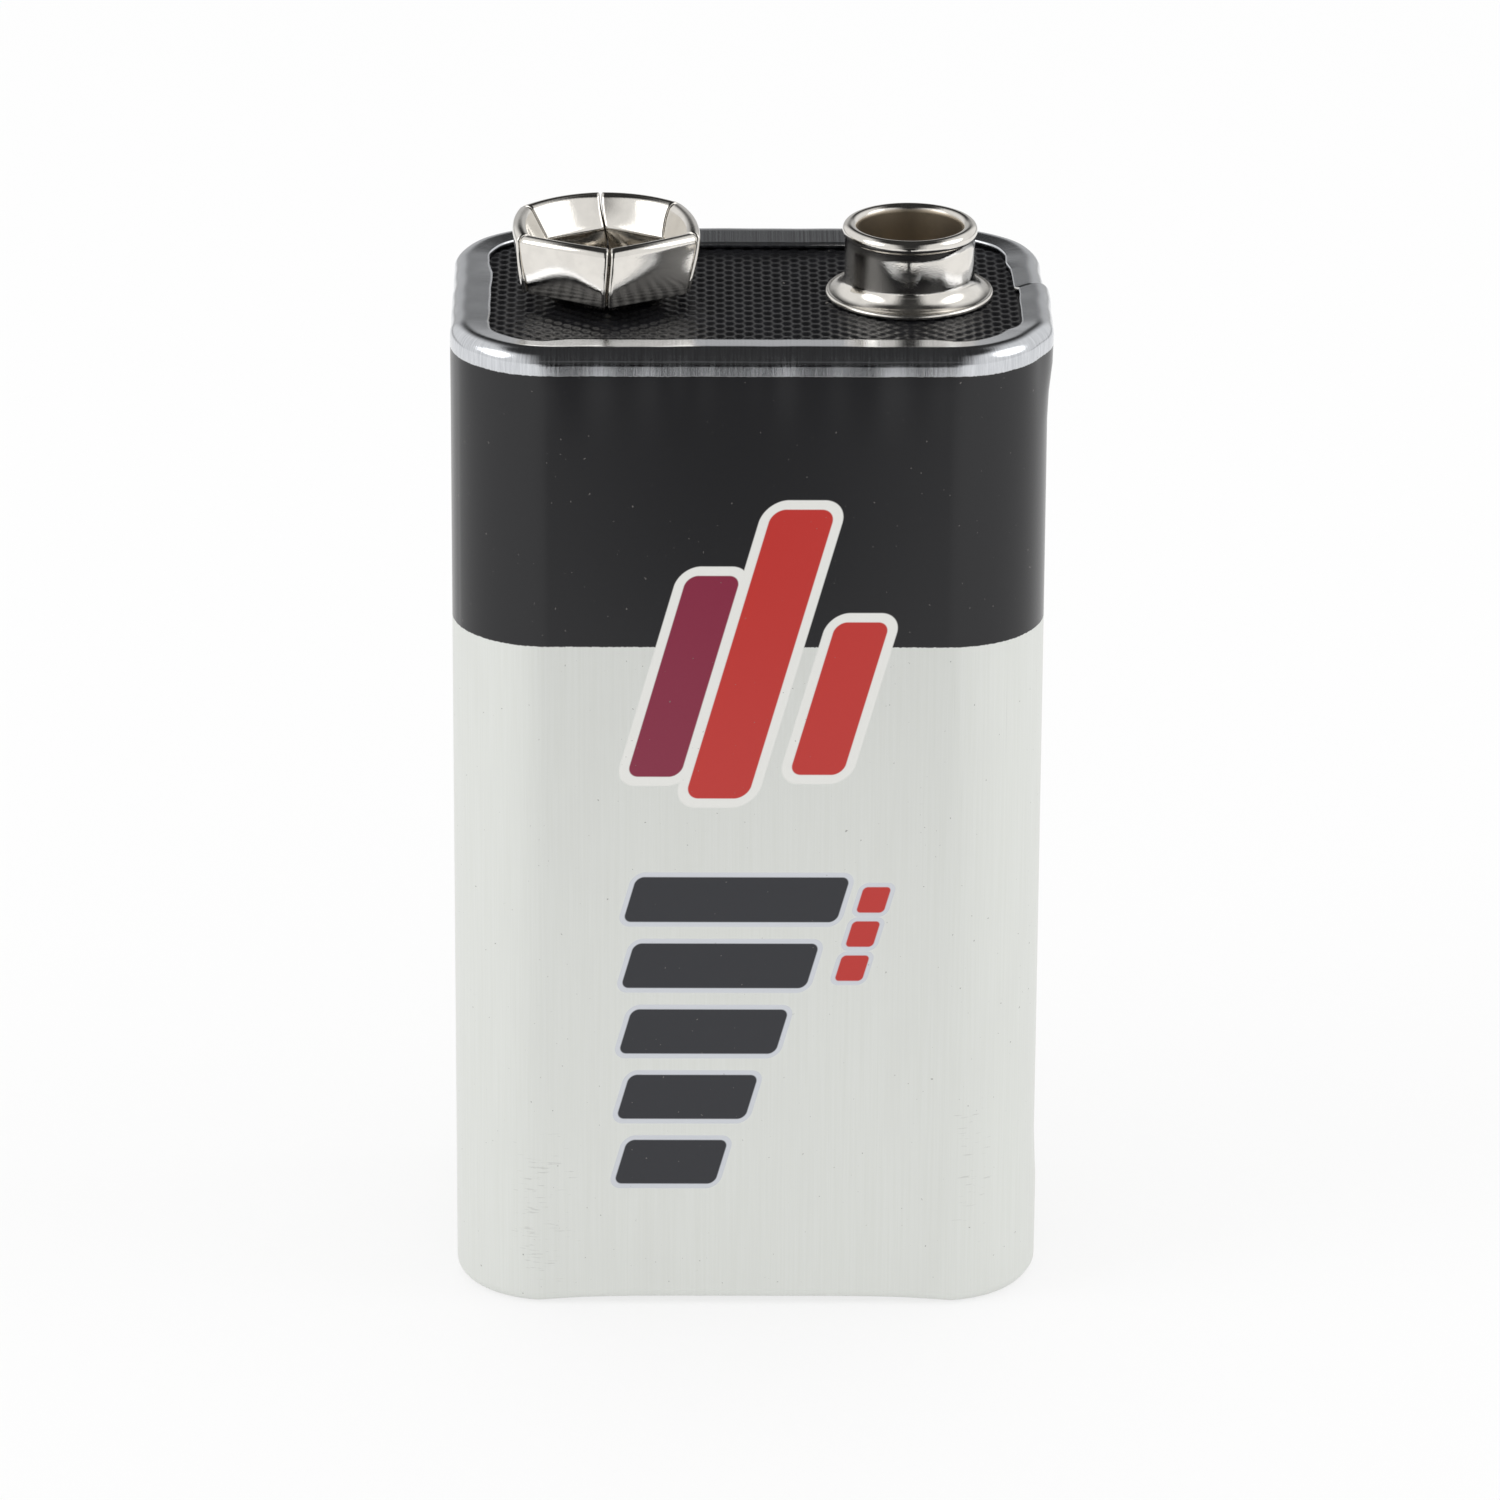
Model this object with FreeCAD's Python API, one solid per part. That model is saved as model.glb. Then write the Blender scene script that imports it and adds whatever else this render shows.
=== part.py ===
"""Nine volt battery of the snap terminal kind: six cylindrical cells in a crimped steel jacket.

Millimetres, +Z up. The origin is below the middle of the overall outline, at the foot. +X runs
from the negative terminal to the positive one, and -Y is the front face.
"""
import FreeCAD
import Part
import math
import os

from FreeCAD import Vector

# Cells: two rows of three, every second one standing on its positive end
cell_diameter = 8.0
cell_length = 38.9
cell_columns = 3
cell_rows = 2
cell_gap = 0.1           # free gap between neighbouring cells
cell_shoulder = 0.6      # bevel at the closed end of the can
cell_nub_radius = 1.4
cell_nub_height = 0.8
cell_nub_bevel = 0.25
cell_cap_radius = 2.9    # negative cap inside the crimped mouth
cell_cap_proud = 0.15
cell_crimp_bevel = 0.5
cell_groove_depth = 0.3  # rolled groove that seats the seal
cell_groove_height = 2.4

# Insulating sleeve round the cells
sleeve_wall = 0.12
sleeve_clearance = 0.03  # to the jacket
side_room = 0.22         # between the cells and the sleeve at the narrow sides
face_room = 0.05         # between the cells and the sleeve at the wide faces

# Steel jacket
sheet = 0.2              # thickness of the steel
corner_radius = 4.05     # outside, in plan
top_roll = 0.7           # outside radius of the rolled top edge
bottom_roll = 0.6
top_rise = 0.31          # crest of the top roll above the board
foot_drop = 0.25         # rolled bottom edge below the plate it holds
foot_arch = 0.2          # how far the long bottom edges are drawn up from the corners
arch_run = 2.2           # length over which they are drawn up
corner_reach = 1.5       # how far the folded edge reaches in at the corners
front_reach = 1.75       # the same for the top flap along the front face
back_reach = 2.5         # the same for the top flap along the back face
foot_reach = 2.1         # the same for the bottom flaps along both wide faces
narrow_reach = 1.62      # the same for the flaps along the narrow sides
flap_lift = 0.07         # inner edge of a flap above the plate
flap_taper = 1.2         # how much each end of a flap is cut back along its width
flap_margin = 0.4        # from the end of a straight side to the root of its flap
seam_width = 0.12        # joint line where the two ends of the sheet meet
seam_depth = 0.1
seam_offset = 0.3        # from the middle of the narrow side, towards the back
lap_swell = 0.32         # the lapped sheet stands out this far over the top roll
lap_foot_swell = 0.14    # and this far over the bottom roll
lap_straight = 0.7       # height below a roll where the swelling stays full
lap_fall = 1.6           # height below a roll where it has run out
lap_width = 3.7          # from the joint line towards the front
lap_fade = 1.0           # length over which its front end dies away

# Plates and cards
plate_clearance = 0.05   # round the board and the bottom plate, inside the jacket
board_thickness = 1.2
plate_thickness = 0.8
card_clearance = 0.1     # round the cards, inside the sleeve
top_card_thickness = 0.3
bottom_card_thickness = 0.25
head_room = 1.74         # between the top card and the board, for the leads

# Straps and leads
strap_thickness = 0.15
strap_width = 3.8
strap_overhang = 1.5     # past the centre of the cell it is welded to
strap_round = 0.6
lead_width = 3.6
lead_overhang = 1.6      # past the rivet and past the weld
lead_edge_room = 0.5     # from the fold to the sleeve
lead_notch_room = 0.25   # round the fold, in the top card

# Terminals, on the line between the narrow sides. Their axes are 12.93 mm apart.
stud_side_room = 5.765   # from the stud's axis to the outside of its narrow side
socket_side_room = 6.645  # the same for the socket
rivet_radius = 1.25
rivet_clearance = 0.03
rivet_head_radius = 1.8
rivet_head_height = 0.4
rivet_tail_radius = 1.9
rivet_tail_height = 0.35
rivet_bore_radius = 0.7
rivet_bore_depth = 1.5   # from the tail

stud_height = 3.24
stud_floor = 0.25
stud_inner_radius = 2.23
stud_neck_radius = 2.69
stud_bead_radius = 2.87
stud_bead_round = 0.25   # outer rounds of the bead, over and under its land
stud_bead_land = 0.15    # straight stretch round the bead, which a connector grips
stud_flange_radius = 3.6
stud_flange_edge = 0.24
stud_flare = 0.62        # radius of the flare from neck to flange

socket_height = 3.25
socket_sheet = 0.26
socket_floor_reach = 2.2  # from the axis to the bend of each wall
socket_throat = 2.62      # from the axis to the tightest place of a petal
socket_throat_height = 1.9
socket_wall_foot = 2.78   # from the axis to the wall above the bend
socket_wall_height = 0.75
socket_crest = 3.46       # from the axis to the crest of a petal
socket_roll = 0.44        # outside radius of the curled crest
socket_skirt_foot = 3.56  # from the axis to the lower edge of the skirt
socket_skirt_gap = 0.75   # lower edge of the skirt above the board
socket_bow = 9.0          # plan radius of each petal, which is nearly flat
socket_slit = 0.3
socket_sides = 6

# Places that follow from the sizes above
case_width = (cell_columns * cell_diameter + (cell_columns - 1) * cell_gap
              + 2 * (side_room + sleeve_wall + sleeve_clearance + sheet))
case_depth = (cell_rows * cell_diameter + (cell_rows - 1) * cell_gap
              + 2 * (face_room + sleeve_wall + sleeve_clearance + sheet))
plate_seat = foot_drop + sheet
plate_top = plate_seat + plate_thickness
bottom_card_top = plate_top + bottom_card_thickness
cells_foot = bottom_card_top + strap_thickness
cells_top = cells_foot + cell_length
top_strap_top = cells_top + strap_thickness
top_card_top = top_strap_top + top_card_thickness
board_foot = top_card_top + head_room
board_top = board_foot + board_thickness
rim_crest = board_top + top_rise
straight_x = case_width / 2 - corner_radius   # half length of a wide side's straight part
straight_y = case_depth / 2 - corner_radius
cell_pitch = cell_diameter + cell_gap
positive_x = case_width / 2 - stud_side_room
negative_x = socket_side_room - case_width / 2
rivet_hole = rivet_radius + rivet_clearance
origin_shift = -lap_swell / 2   # puts the origin under the middle of the overall outline


def column_x(column):
    """X of a column of cells, counted from the negative side."""
    return (column - (cell_columns - 1) / 2) * cell_pitch


def row_y(row):
    """Y of a row of cells, counted from the front."""
    return (row - (cell_rows - 1) / 2) * cell_pitch


def save(shape, name):
    """One sub-part, moved from the case's middle to the origin's frame, as its own STEP file."""
    shape = shape.removeSplitter()
    shape.translate(Vector(origin_shift, 0, 0))
    if not shape.isValid():
        raise ValueError(name + " is not a valid solid")
    shape.exportStep("parts/" + name + ".step")
    box = shape.optimalBoundingBox(False)
    print(f"{name:20s} {len(shape.Solids)} solid {shape.Volume:9.2f} mm3 "
          f"{box.XLength:6.2f} {box.YLength:6.2f} {box.ZLength:6.2f}")


def rounded_plate(width, depth, radius, foot, height):
    """Upright plate with a rounded rectangle for its plan, centred on the Z axis."""
    x, y = width / 2, depth / 2
    k = radius * (1 - math.sqrt(0.5))
    edges = [
        Part.LineSegment(Vector(radius - x, -y, foot), Vector(x - radius, -y, foot)),
        Part.Arc(Vector(x - radius, -y, foot), Vector(x - k, k - y, foot),
                 Vector(x, radius - y, foot)),
        Part.LineSegment(Vector(x, radius - y, foot), Vector(x, y - radius, foot)),
        Part.Arc(Vector(x, y - radius, foot), Vector(x - k, y - k, foot),
                 Vector(x - radius, y, foot)),
        Part.LineSegment(Vector(x - radius, y, foot), Vector(radius - x, y, foot)),
        Part.Arc(Vector(radius - x, y, foot), Vector(k - x, y - k, foot),
                 Vector(-x, y - radius, foot)),
        Part.LineSegment(Vector(-x, y - radius, foot), Vector(-x, radius - y, foot)),
        Part.Arc(Vector(-x, radius - y, foot), Vector(k - x, k - y, foot),
                 Vector(radius - x, -y, foot)),
    ]
    wire = Part.Wire([edge.toShape() for edge in edges])
    return Part.Face(wire).extrude(Vector(0, 0, height))


def rolled_plate(foot, thickness, roll, upper):
    """Plate held inside the jacket, its upper or lower edge rounded to follow the rolled sheet."""
    plate = inset_plate(sheet + plate_clearance, foot, thickness)
    level = foot + thickness if upper else foot
    rim = [e for e in plate.Edges if e.BoundBox.ZLength < thickness / 2
           and abs(e.BoundBox.ZMax - level) < thickness / 4]
    return plate.makeFillet(roll - sheet - plate_clearance, rim)


def inset_plate(inset, foot, height):
    """Plate that fills the case's plan, less an inset from its outer face."""
    return rounded_plate(case_width - 2 * inset, case_depth - 2 * inset,
                         corner_radius - inset, foot, height)


def turned(points, bulges=None):
    """Solid of revolution about Z. Points are (radius, height), and bulges maps the number of a
    side to the point that its arc passes through."""
    bulges = bulges or {}
    place = [Vector(r, 0, z) for r, z in points]
    edges = []
    for i, start in enumerate(place):
        end = place[(i + 1) % len(place)]
        if i in bulges:
            middle = Vector(bulges[i][0], 0, bulges[i][1])
            edges.append(Part.Arc(start, middle, end).toShape())
        else:
            edges.append(Part.LineSegment(start, end).toShape())
    face = Part.Face(Part.Wire(edges))
    return face.revolve(Vector(0, 0, 0), Vector(0, 0, 1), 360)


def on_arc(centre, radius, degrees):
    """Point at an angle on a circle, as (radius, height)."""
    angle = math.radians(degrees)
    return centre[0] + radius * math.cos(angle), centre[1] + radius * math.sin(angle)


def fold_angle(roll, rise, reach, lift):
    """Slope of a folded edge that leaves its roll at a tangent and ends at reach, lift above
    the plate, where the roll's crest stands rise above the plate."""
    across = reach - roll
    up = lift - rise + roll
    return math.atan2(across, up) - math.acos((roll - sheet) / math.hypot(across, up))


def folded_end(roll, crest, rise, reach, lift):
    """Outer and inner points of a folded sheet edge, as (inward, height) pairs, from the wall to
    the free edge: wall, middle of the roll, end of the roll, free edge."""
    slope = fold_angle(roll, rise, reach, lift)
    normal = (math.sin(slope), math.cos(slope))
    half = (math.pi / 2 + slope) / 2
    middle = (-math.cos(half), math.sin(half))
    centre = (roll, crest - roll)
    edge = (reach, crest - rise + lift)
    sides = []
    for radius, thick in ((roll, sheet), (roll - sheet, 0)):
        sides.append([
            (roll - radius, crest - roll),
            (centre[0] + radius * middle[0], centre[1] + radius * middle[1]),
            (centre[0] + radius * normal[0], centre[1] + radius * normal[1]),
            (edge[0] + thick * normal[0], edge[1] + thick * normal[1]),
        ])
    return sides


def mirrored(points, height):
    """The same points turned over, so that their height is counted down from another one."""
    return [(inward, height - z) for inward, z in points]


def raised(points, height):
    """The same points lifted by a height."""
    return [(inward, height + z) for inward, z in points]


def jacket_section(arch):
    """Full section of the sheet from its top fold to its bottom one, as corners and arcs in
    (inward, height). arch lifts the bottom roll."""
    top_out, top_in = folded_end(top_roll, rim_crest, top_rise, corner_reach, 0)
    rise = foot_drop + sheet - arch
    foot_out, foot_in = folded_end(bottom_roll, 0, rise, corner_reach, 0)
    foot_out = mirrored(foot_out, arch)
    foot_in = mirrored(foot_in, arch)
    return [("line", foot_out[0], top_out[0]), ("arc", *top_out[:3]), ("line", *top_out[2:]),
            ("line", top_out[3], top_in[3]), ("line", top_in[3], top_in[2]),
            ("arc", *reversed(top_in[:3])), ("line", top_in[0], foot_in[0]),
            ("arc", *foot_in[:3]), ("line", *foot_in[2:]), ("line", foot_in[3], foot_out[3]),
            ("line", foot_out[3], foot_out[2]), ("arc", *reversed(foot_out[:3]))]


def flap_section(roll, crest, rise, reach, turn_over):
    """Section of a flap: the roll with a longer fold than the corners have."""
    outer, inner = folded_end(roll, 0, rise, reach, flap_lift)
    if turn_over:
        outer, inner = mirrored(outer, crest), mirrored(inner, crest)
    else:
        outer, inner = raised(outer, crest), raised(inner, crest)
    return [("arc", *outer[:3]), ("line", *outer[2:]), ("line", outer[3], inner[3]),
            ("line", inner[3], inner[2]), ("arc", *reversed(inner[:3])),
            ("line", inner[0], outer[0])]


def placed_wire(section, place):
    """Closed wire from a section, with place() giving each point's position."""
    edges = []
    for kind, *points in section:
        spots = [place(*p) for p in points]
        edge = Part.Arc(*spots) if kind == "arc" else Part.LineSegment(*spots)
        edges.append(edge.toShape())
    return Part.Wire(edges)


def wide_place(x):
    """Places a section across the front wall, at x."""
    return lambda inward, z: Vector(x, inward - case_depth / 2, z)


def narrow_place(y):
    """Places a section across the positive side's wall, at y."""
    return lambda inward, z: Vector(case_width / 2 - inward, y, z)


def run_between(start, end):
    """Straight or slowly changing stretch of sheet between two sections."""
    return Part.makeLoft([start, end], True, True)


def wide_wall():
    """Front wall with its folds, whose foot is drawn up between the corners."""
    flat, arched = jacket_section(0), jacket_section(foot_arch)
    inner = straight_x - arch_run
    stations = [(-straight_x, flat), (-inner, arched), (inner, arched), (straight_x, flat)]
    wires = [placed_wire(section, wide_place(x)) for x, section in stations]
    runs = [run_between(a, b) for a, b in zip(wires, wires[1:])]
    return runs[0].multiFuse(runs[1:])


def narrow_wall():
    """Wall of the positive side with its folds."""
    section = jacket_section(0)
    return run_between(placed_wire(section, narrow_place(-straight_y)),
                       placed_wire(section, narrow_place(straight_y)))


def corner():
    """Quarter turn of the sheet at the front corner of the positive side."""
    face = Part.Face(placed_wire(jacket_section(0), narrow_place(-straight_y)))
    return face.revolve(Vector(straight_x, -straight_y, 0), Vector(0, 0, 1), -90)


def flap(place, half_length, reach, crest_spec):
    """One folded flap with tapered ends, along a wall that place() describes."""
    section = flap_section(*crest_spec[:3], reach, crest_spec[3])
    root = half_length - flap_margin
    body = run_between(placed_wire(section, place(-root)), placed_wire(section, place(root)))
    low, high = body.BoundBox.ZMin - 1, body.BoundBox.ZMax + 1
    outline = [(-root, 0), (root, 0), (root - flap_taper, reach), (flap_taper - root, reach)]
    corners = [place(along)(inward, low) for along, inward in outline]
    trim = Part.Face(Part.makePolygon(corners + corners[:1])).extrude(Vector(0, 0, high - low))
    return body.common(trim)


def about_z(shape, degrees):
    """Copy of a shape turned about the Z axis."""
    copy = shape.copy()
    copy.rotate(Vector(0, 0, 0), Vector(0, 0, 1), degrees)
    return copy


def seam():
    """Thin groove down the outside of the narrow side, over both rolls."""
    deep = seam_depth
    groove = Part.makeBox(deep, seam_width, rim_crest,
                          Vector(case_width / 2 - deep, seam_offset, 0))
    over = Part.makeBox(narrow_reach + sheet, seam_width, top_rise + sheet,
                        Vector(case_width / 2 - narrow_reach - sheet, seam_offset,
                               rim_crest - seam_depth))
    return groove.fuse(over)


def lap_section(roll, swell):
    """Crescent over a roll whose crest is at height 0, from near the crest down to the wall. Its
    back and both its ends lie in the middle of the sheet."""
    back = sheet / 2
    diagonal = math.sqrt(0.5)
    start, turn = (roll, -back), (back, -roll)
    widest = (-swell, -roll)
    middle = (roll - (roll + swell) * diagonal, roll * (diagonal - 1))
    middle_back = (roll - (roll - back) * diagonal, (roll - back) * diagonal - roll)
    knee, end = (-swell, -roll - lap_straight), (back, -roll - lap_fall)
    return [("arc", start, middle, widest), ("line", widest, knee), ("line", knee, end),
            ("line", end, turn), ("arc", turn, middle_back, start)]


def seam_lap(roll, swell, place_height):
    """Swelling that the lapped sheet gives to one roll, from the joint line towards the front.
    place_height() gives the height of a point from its height over the crest."""
    stations = [(seam_offset, swell), (seam_offset - lap_width, swell),
                (seam_offset - lap_width - lap_fade, sheet / 10)]
    wires = []
    for y, thickness in stations:
        section = [(kind, *[(inward, place_height(z)) for inward, z in points])
                   for kind, *points in lap_section(roll, thickness)]
        wires.append(placed_wire(section, narrow_place(y)))
    return run_between(*wires[:2]).fuse(run_between(*wires[1:]))


def jacket():
    """Printed steel sheet, bent round, joined down one side and folded in at both ends."""
    pieces = []
    quarter = corner()
    mirror_x = quarter.mirror(Vector(0, 0, 0), Vector(1, 0, 0))
    wide, narrow = wide_wall(), narrow_wall()
    top = (top_roll, rim_crest, top_rise, False)
    foot = (bottom_roll, foot_arch, foot_drop + sheet - foot_arch, True)
    foot_narrow = (bottom_roll, 0, foot_drop + sheet, True)
    for turn in (0, 180):
        pieces += [about_z(s, turn) for s in (wide, narrow, quarter, mirror_x)]
    flaps = [flap(wide_place, straight_x - arch_run, foot_reach, foot),
             flap(narrow_place, straight_y, narrow_reach, top),
             flap(narrow_place, straight_y, narrow_reach, foot_narrow)]
    for turn, reach in ((0, front_reach), (180, back_reach)):
        pieces += [about_z(s, turn) for s in flaps]
        pieces.append(about_z(flap(wide_place, straight_x, reach, top), turn))
    pieces.append(seam_lap(top_roll, lap_swell, lambda z: rim_crest + z))
    pieces.append(seam_lap(bottom_roll, lap_foot_swell, lambda z: -z))
    shell = pieces[0].multiFuse(pieces[1:])
    return shell.cut(seam())


def terminal_board():
    """Textured board that closes the top and carries both terminals."""
    board = rolled_plate(board_foot, board_thickness, top_roll, True)
    for x in (negative_x, positive_x):
        board = board.cut(Part.makeCylinder(rivet_hole, board_thickness,
                                            Vector(x, 0, board_foot)))
    return board


def bottom_plate():
    """Plate that closes the foot."""
    return rolled_plate(plate_seat, plate_thickness, bottom_roll, False)


def insulating_sleeve():
    """Tube between the cells and the jacket, from the bottom plate to the board."""
    outer = sheet + sleeve_clearance
    height = board_foot - plate_top
    return (inset_plate(outer, plate_top, height)
            .cut(inset_plate(outer + sleeve_wall, plate_top, height)))


def card(foot, thickness):
    """Card that fills the sleeve."""
    return inset_plate(sheet + sleeve_clearance + sleeve_wall + card_clearance, foot, thickness)


def lead_fold_y():
    """How far from the middle a lead's fold stands, outside."""
    return case_depth / 2 - sheet - sleeve_clearance - sleeve_wall - lead_edge_room


def lead_x(side):
    """Middle of a lead, half way between its rivet and its cell. side is 1 for the positive lead
    and -1 for the negative one."""
    rivet_x = positive_x if side > 0 else negative_x
    return (rivet_x + side * column_x(cell_columns - 1)) / 2


def top_card():
    """Card over the upper straps, notched where the two leads pass it."""
    shape = card(top_strap_top, top_card_thickness)
    fold = lead_fold_y() - strap_thickness - lead_notch_room
    width = lead_width + 2 * lead_notch_room
    for side in (1, -1):
        notch = Part.makeBox(width, case_depth, top_card_thickness,
                             Vector(side * lead_x(side) - width / 2, -fold - case_depth,
                                    top_strap_top))
        shape = shape.cut(notch if side > 0 else about_z(notch, 180))
    return shape


def lead(side):
    """Folded strip from a rivet under the board to the end of a cell. side is 1 for the
    positive lead, at the front, and -1 for the negative one, at the back."""
    fold = lead_fold_y()
    t = strap_thickness
    cell_y = -row_y(0)
    tall = board_foot - cells_top
    x = side * lead_x(side) - lead_width / 2
    rivet_x = positive_x if side > 0 else -negative_x
    upper = Part.makeBox(lead_width, fold + lead_overhang, t, Vector(x, -fold, board_foot - t))
    upright = Part.makeBox(lead_width, t, tall, Vector(x, -fold, cells_top))
    lower = Part.makeBox(lead_width, fold - cell_y + lead_overhang, t, Vector(x, -fold, cells_top))
    strip = upper.multiFuse([upright, lower]).removeSplitter()
    bends = [e for e in strip.Edges
             if abs(e.BoundBox.YMax + fold) < t / 10 and e.BoundBox.XLength > lead_width / 2
             and e.BoundBox.ZLength < t / 10]
    strip = strip.makeFillet(t, bends)
    hole = Part.makeCylinder(rivet_hole, t, Vector(rivet_x, 0, board_foot - t))
    strip = strip.cut(hole)
    return strip if side > 0 else about_z(strip, 180)


def strap(first, second, foot):
    """Welded strip between the ends of two neighbouring cells, given as (column, row)."""
    xs = sorted([column_x(first[0]), column_x(second[0])])
    ys = sorted([row_y(first[1]), row_y(second[1])])
    along_x = first[1] == second[1]
    pad_x = strap_overhang if along_x else strap_width / 2
    pad_y = strap_width / 2 if along_x else strap_overhang
    strip = Part.makeBox(xs[1] - xs[0] + 2 * pad_x, ys[1] - ys[0] + 2 * pad_y, strap_thickness,
                         Vector(xs[0] - pad_x, ys[0] - pad_y, foot))
    upright = [e for e in strip.Edges if e.BoundBox.ZLength > strap_thickness / 2]
    return strip.makeFillet(strap_round, upright)


def cell(column, row, positive_up):
    """One sealed cell: a steel can with its nub at one end and a crimped cap at the other."""
    r = cell_diameter / 2
    top = cell_length - cell_nub_height
    crimp, shoulder, nub = cell_crimp_bevel, cell_shoulder, cell_nub_bevel
    shape = turned([
        (0, 0),
        (cell_cap_radius, 0),
        (cell_cap_radius, cell_cap_proud),
        (r - crimp, cell_cap_proud),
        (r, cell_cap_proud + crimp),
        (r, cell_groove_height - cell_groove_depth),
        (r - cell_groove_depth, cell_groove_height),
        (r, cell_groove_height + cell_groove_depth),
        (r, top - shoulder),
        (r - shoulder, top),
        (cell_nub_radius, top),
        (cell_nub_radius, cell_length - nub),
        (cell_nub_radius - nub, cell_length),
        (0, cell_length),
    ])
    if not positive_up:
        shape.rotate(Vector(0, 0, cell_length / 2), Vector(1, 0, 0), 180)
    shape.translate(Vector(column_x(column), row_y(row), cells_foot))
    return shape


def rivet(x, floor):
    """Semi-tubular rivet through a terminal's floor, the board and a lead, spread below."""
    head_foot = board_top + floor
    head_top = head_foot + rivet_head_height
    lead_foot = board_foot - strap_thickness
    tail_foot = lead_foot - rivet_tail_height
    head, tail, shank, bore = rivet_head_radius, rivet_tail_radius, rivet_radius, rivet_bore_radius
    edge = rivet_head_height / 2
    roll = rivet_tail_height / 2
    points = [
        (0, head_top),
        (0, tail_foot + rivet_bore_depth),
        (bore, tail_foot + rivet_bore_depth),
        (bore, tail_foot + roll),
        (bore + roll, tail_foot),
        (tail - roll, tail_foot),
        (tail, tail_foot + roll),
        (tail - roll, lead_foot),
        (shank, lead_foot),
        (shank, head_foot),
        (head, head_foot),
        (head - edge, head_top),
    ]
    crown = (head - edge * (1 - math.sqrt(0.5)), head_foot + rivet_head_height * math.sqrt(0.5))
    shape = turned(points, {10: crown})
    shape.translate(Vector(x, 0, 0))
    return shape


def positive_stud():
    """Drawn stud: floor, double wall rolled over at the top into a bead, and a flared flange."""
    neck, bead, inner = stud_neck_radius, stud_bead_radius, stud_inner_radius
    flange, edge, flare = stud_flange_radius, stud_flange_edge, stud_flare
    outer_round = stud_bead_round
    crown_radius = bead - outer_round     # radius of the bead's highest line
    inner_round = crown_radius - inner
    upper = (crown_radius, stud_height - outer_round)
    lower = (crown_radius, upper[1] - stud_bead_land)
    inside = (crown_radius, stud_height - inner_round)
    crease = -math.degrees(math.acos((neck - crown_radius) / outer_round))
    flare_centre = (neck + flare, edge + flare)
    lip = edge / 2
    points = [
        (rivet_hole, 0),
        (flange - lip, 0),
        (flange, lip),
        (flange - lip, edge),
        (neck + flare, edge),
        (neck, edge + flare),
        on_arc(lower, outer_round, crease),
        (bead, lower[1]),
        (bead, upper[1]),
        (crown_radius, stud_height),
        (inner, inside[1]),
        (inner, stud_floor),
        (rivet_hole, stud_floor),
    ]
    bulges = {
        1: on_arc((flange - lip, lip), lip, -45),
        2: on_arc((flange - lip, lip), lip, 45),
        4: on_arc(flare_centre, flare, 225),
        6: on_arc(lower, outer_round, crease / 2),
        8: on_arc(upper, outer_round, 45),
        9: on_arc(inside, inner_round, 135),
    }
    shape = turned(points, bulges)
    shape.translate(Vector(positive_x, 0, board_top))
    return shape


def bent_face(before, corner, after):
    """Corner on the far face of a sheet that is bent at a corner, to the right of the way."""
    ways = []
    for a, b in ((before, corner), (corner, after)):
        run = math.hypot(b[0] - a[0], b[1] - a[1])
        ways.append(((b[1] - a[1]) / run, (a[0] - b[0]) / run))
    (ax, az), (bx, bz) = ways
    reach = socket_sheet / (1 + ax * bx + az * bz)
    return corner[0] + reach * (ax + bx), corner[1] + reach * (az + bz)


def petal_section():
    """Section of one petal as (from the axis, height above the board): floor, bend, wall, throat,
    curled crest and hanging skirt."""
    t = socket_sheet
    centre = (socket_crest, socket_height - socket_roll)
    inner_roll = socket_roll - t
    start = (0, t)
    bend = (socket_floor_reach, t)
    wall = (socket_wall_foot, socket_wall_height)
    throat = (socket_throat, socket_throat_height)
    foot = (socket_skirt_foot, socket_skirt_gap)
    to_throat = (throat[0] - centre[0], throat[1] - centre[1])
    to_foot = (foot[0] - centre[0], foot[1] - centre[1])
    leave = (360 + math.degrees(math.atan2(to_throat[1], to_throat[0])
                                - math.acos(socket_roll / math.hypot(*to_throat))))
    arrive = math.degrees(math.atan2(to_foot[1], to_foot[0])
                          + math.acos(socket_roll / math.hypot(*to_foot)))
    half = (leave + arrive) / 2
    out_leave, in_leave = (on_arc(centre, r, leave) for r in (socket_roll, inner_roll))
    out_arrive, in_arrive = (on_arc(centre, r, arrive) for r in (socket_roll, inner_roll))
    foot_back = (foot[0] - out_arrive[0] + in_arrive[0], foot[1] - out_arrive[1] + in_arrive[1])
    bend_back = bent_face(start, bend, wall)
    wall_back = bent_face(bend, wall, throat)
    throat_back = bent_face(wall, throat, out_leave)
    return [
        ("line", start, bend),
        ("line", bend, wall),
        ("line", wall, throat),
        ("line", throat, out_leave),
        ("arc", out_leave, on_arc(centre, socket_roll, half), out_arrive),
        ("line", out_arrive, foot),
        ("line", foot, foot_back),
        ("line", foot_back, in_arrive),
        ("arc", in_arrive, on_arc(centre, inner_roll, half), in_leave),
        ("line", in_leave, throat_back),
        ("line", throat_back, wall_back),
        ("line", wall_back, bend_back),
        ("line", bend_back, (0, 0)),
        ("line", (0, 0), start),
    ]


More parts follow.
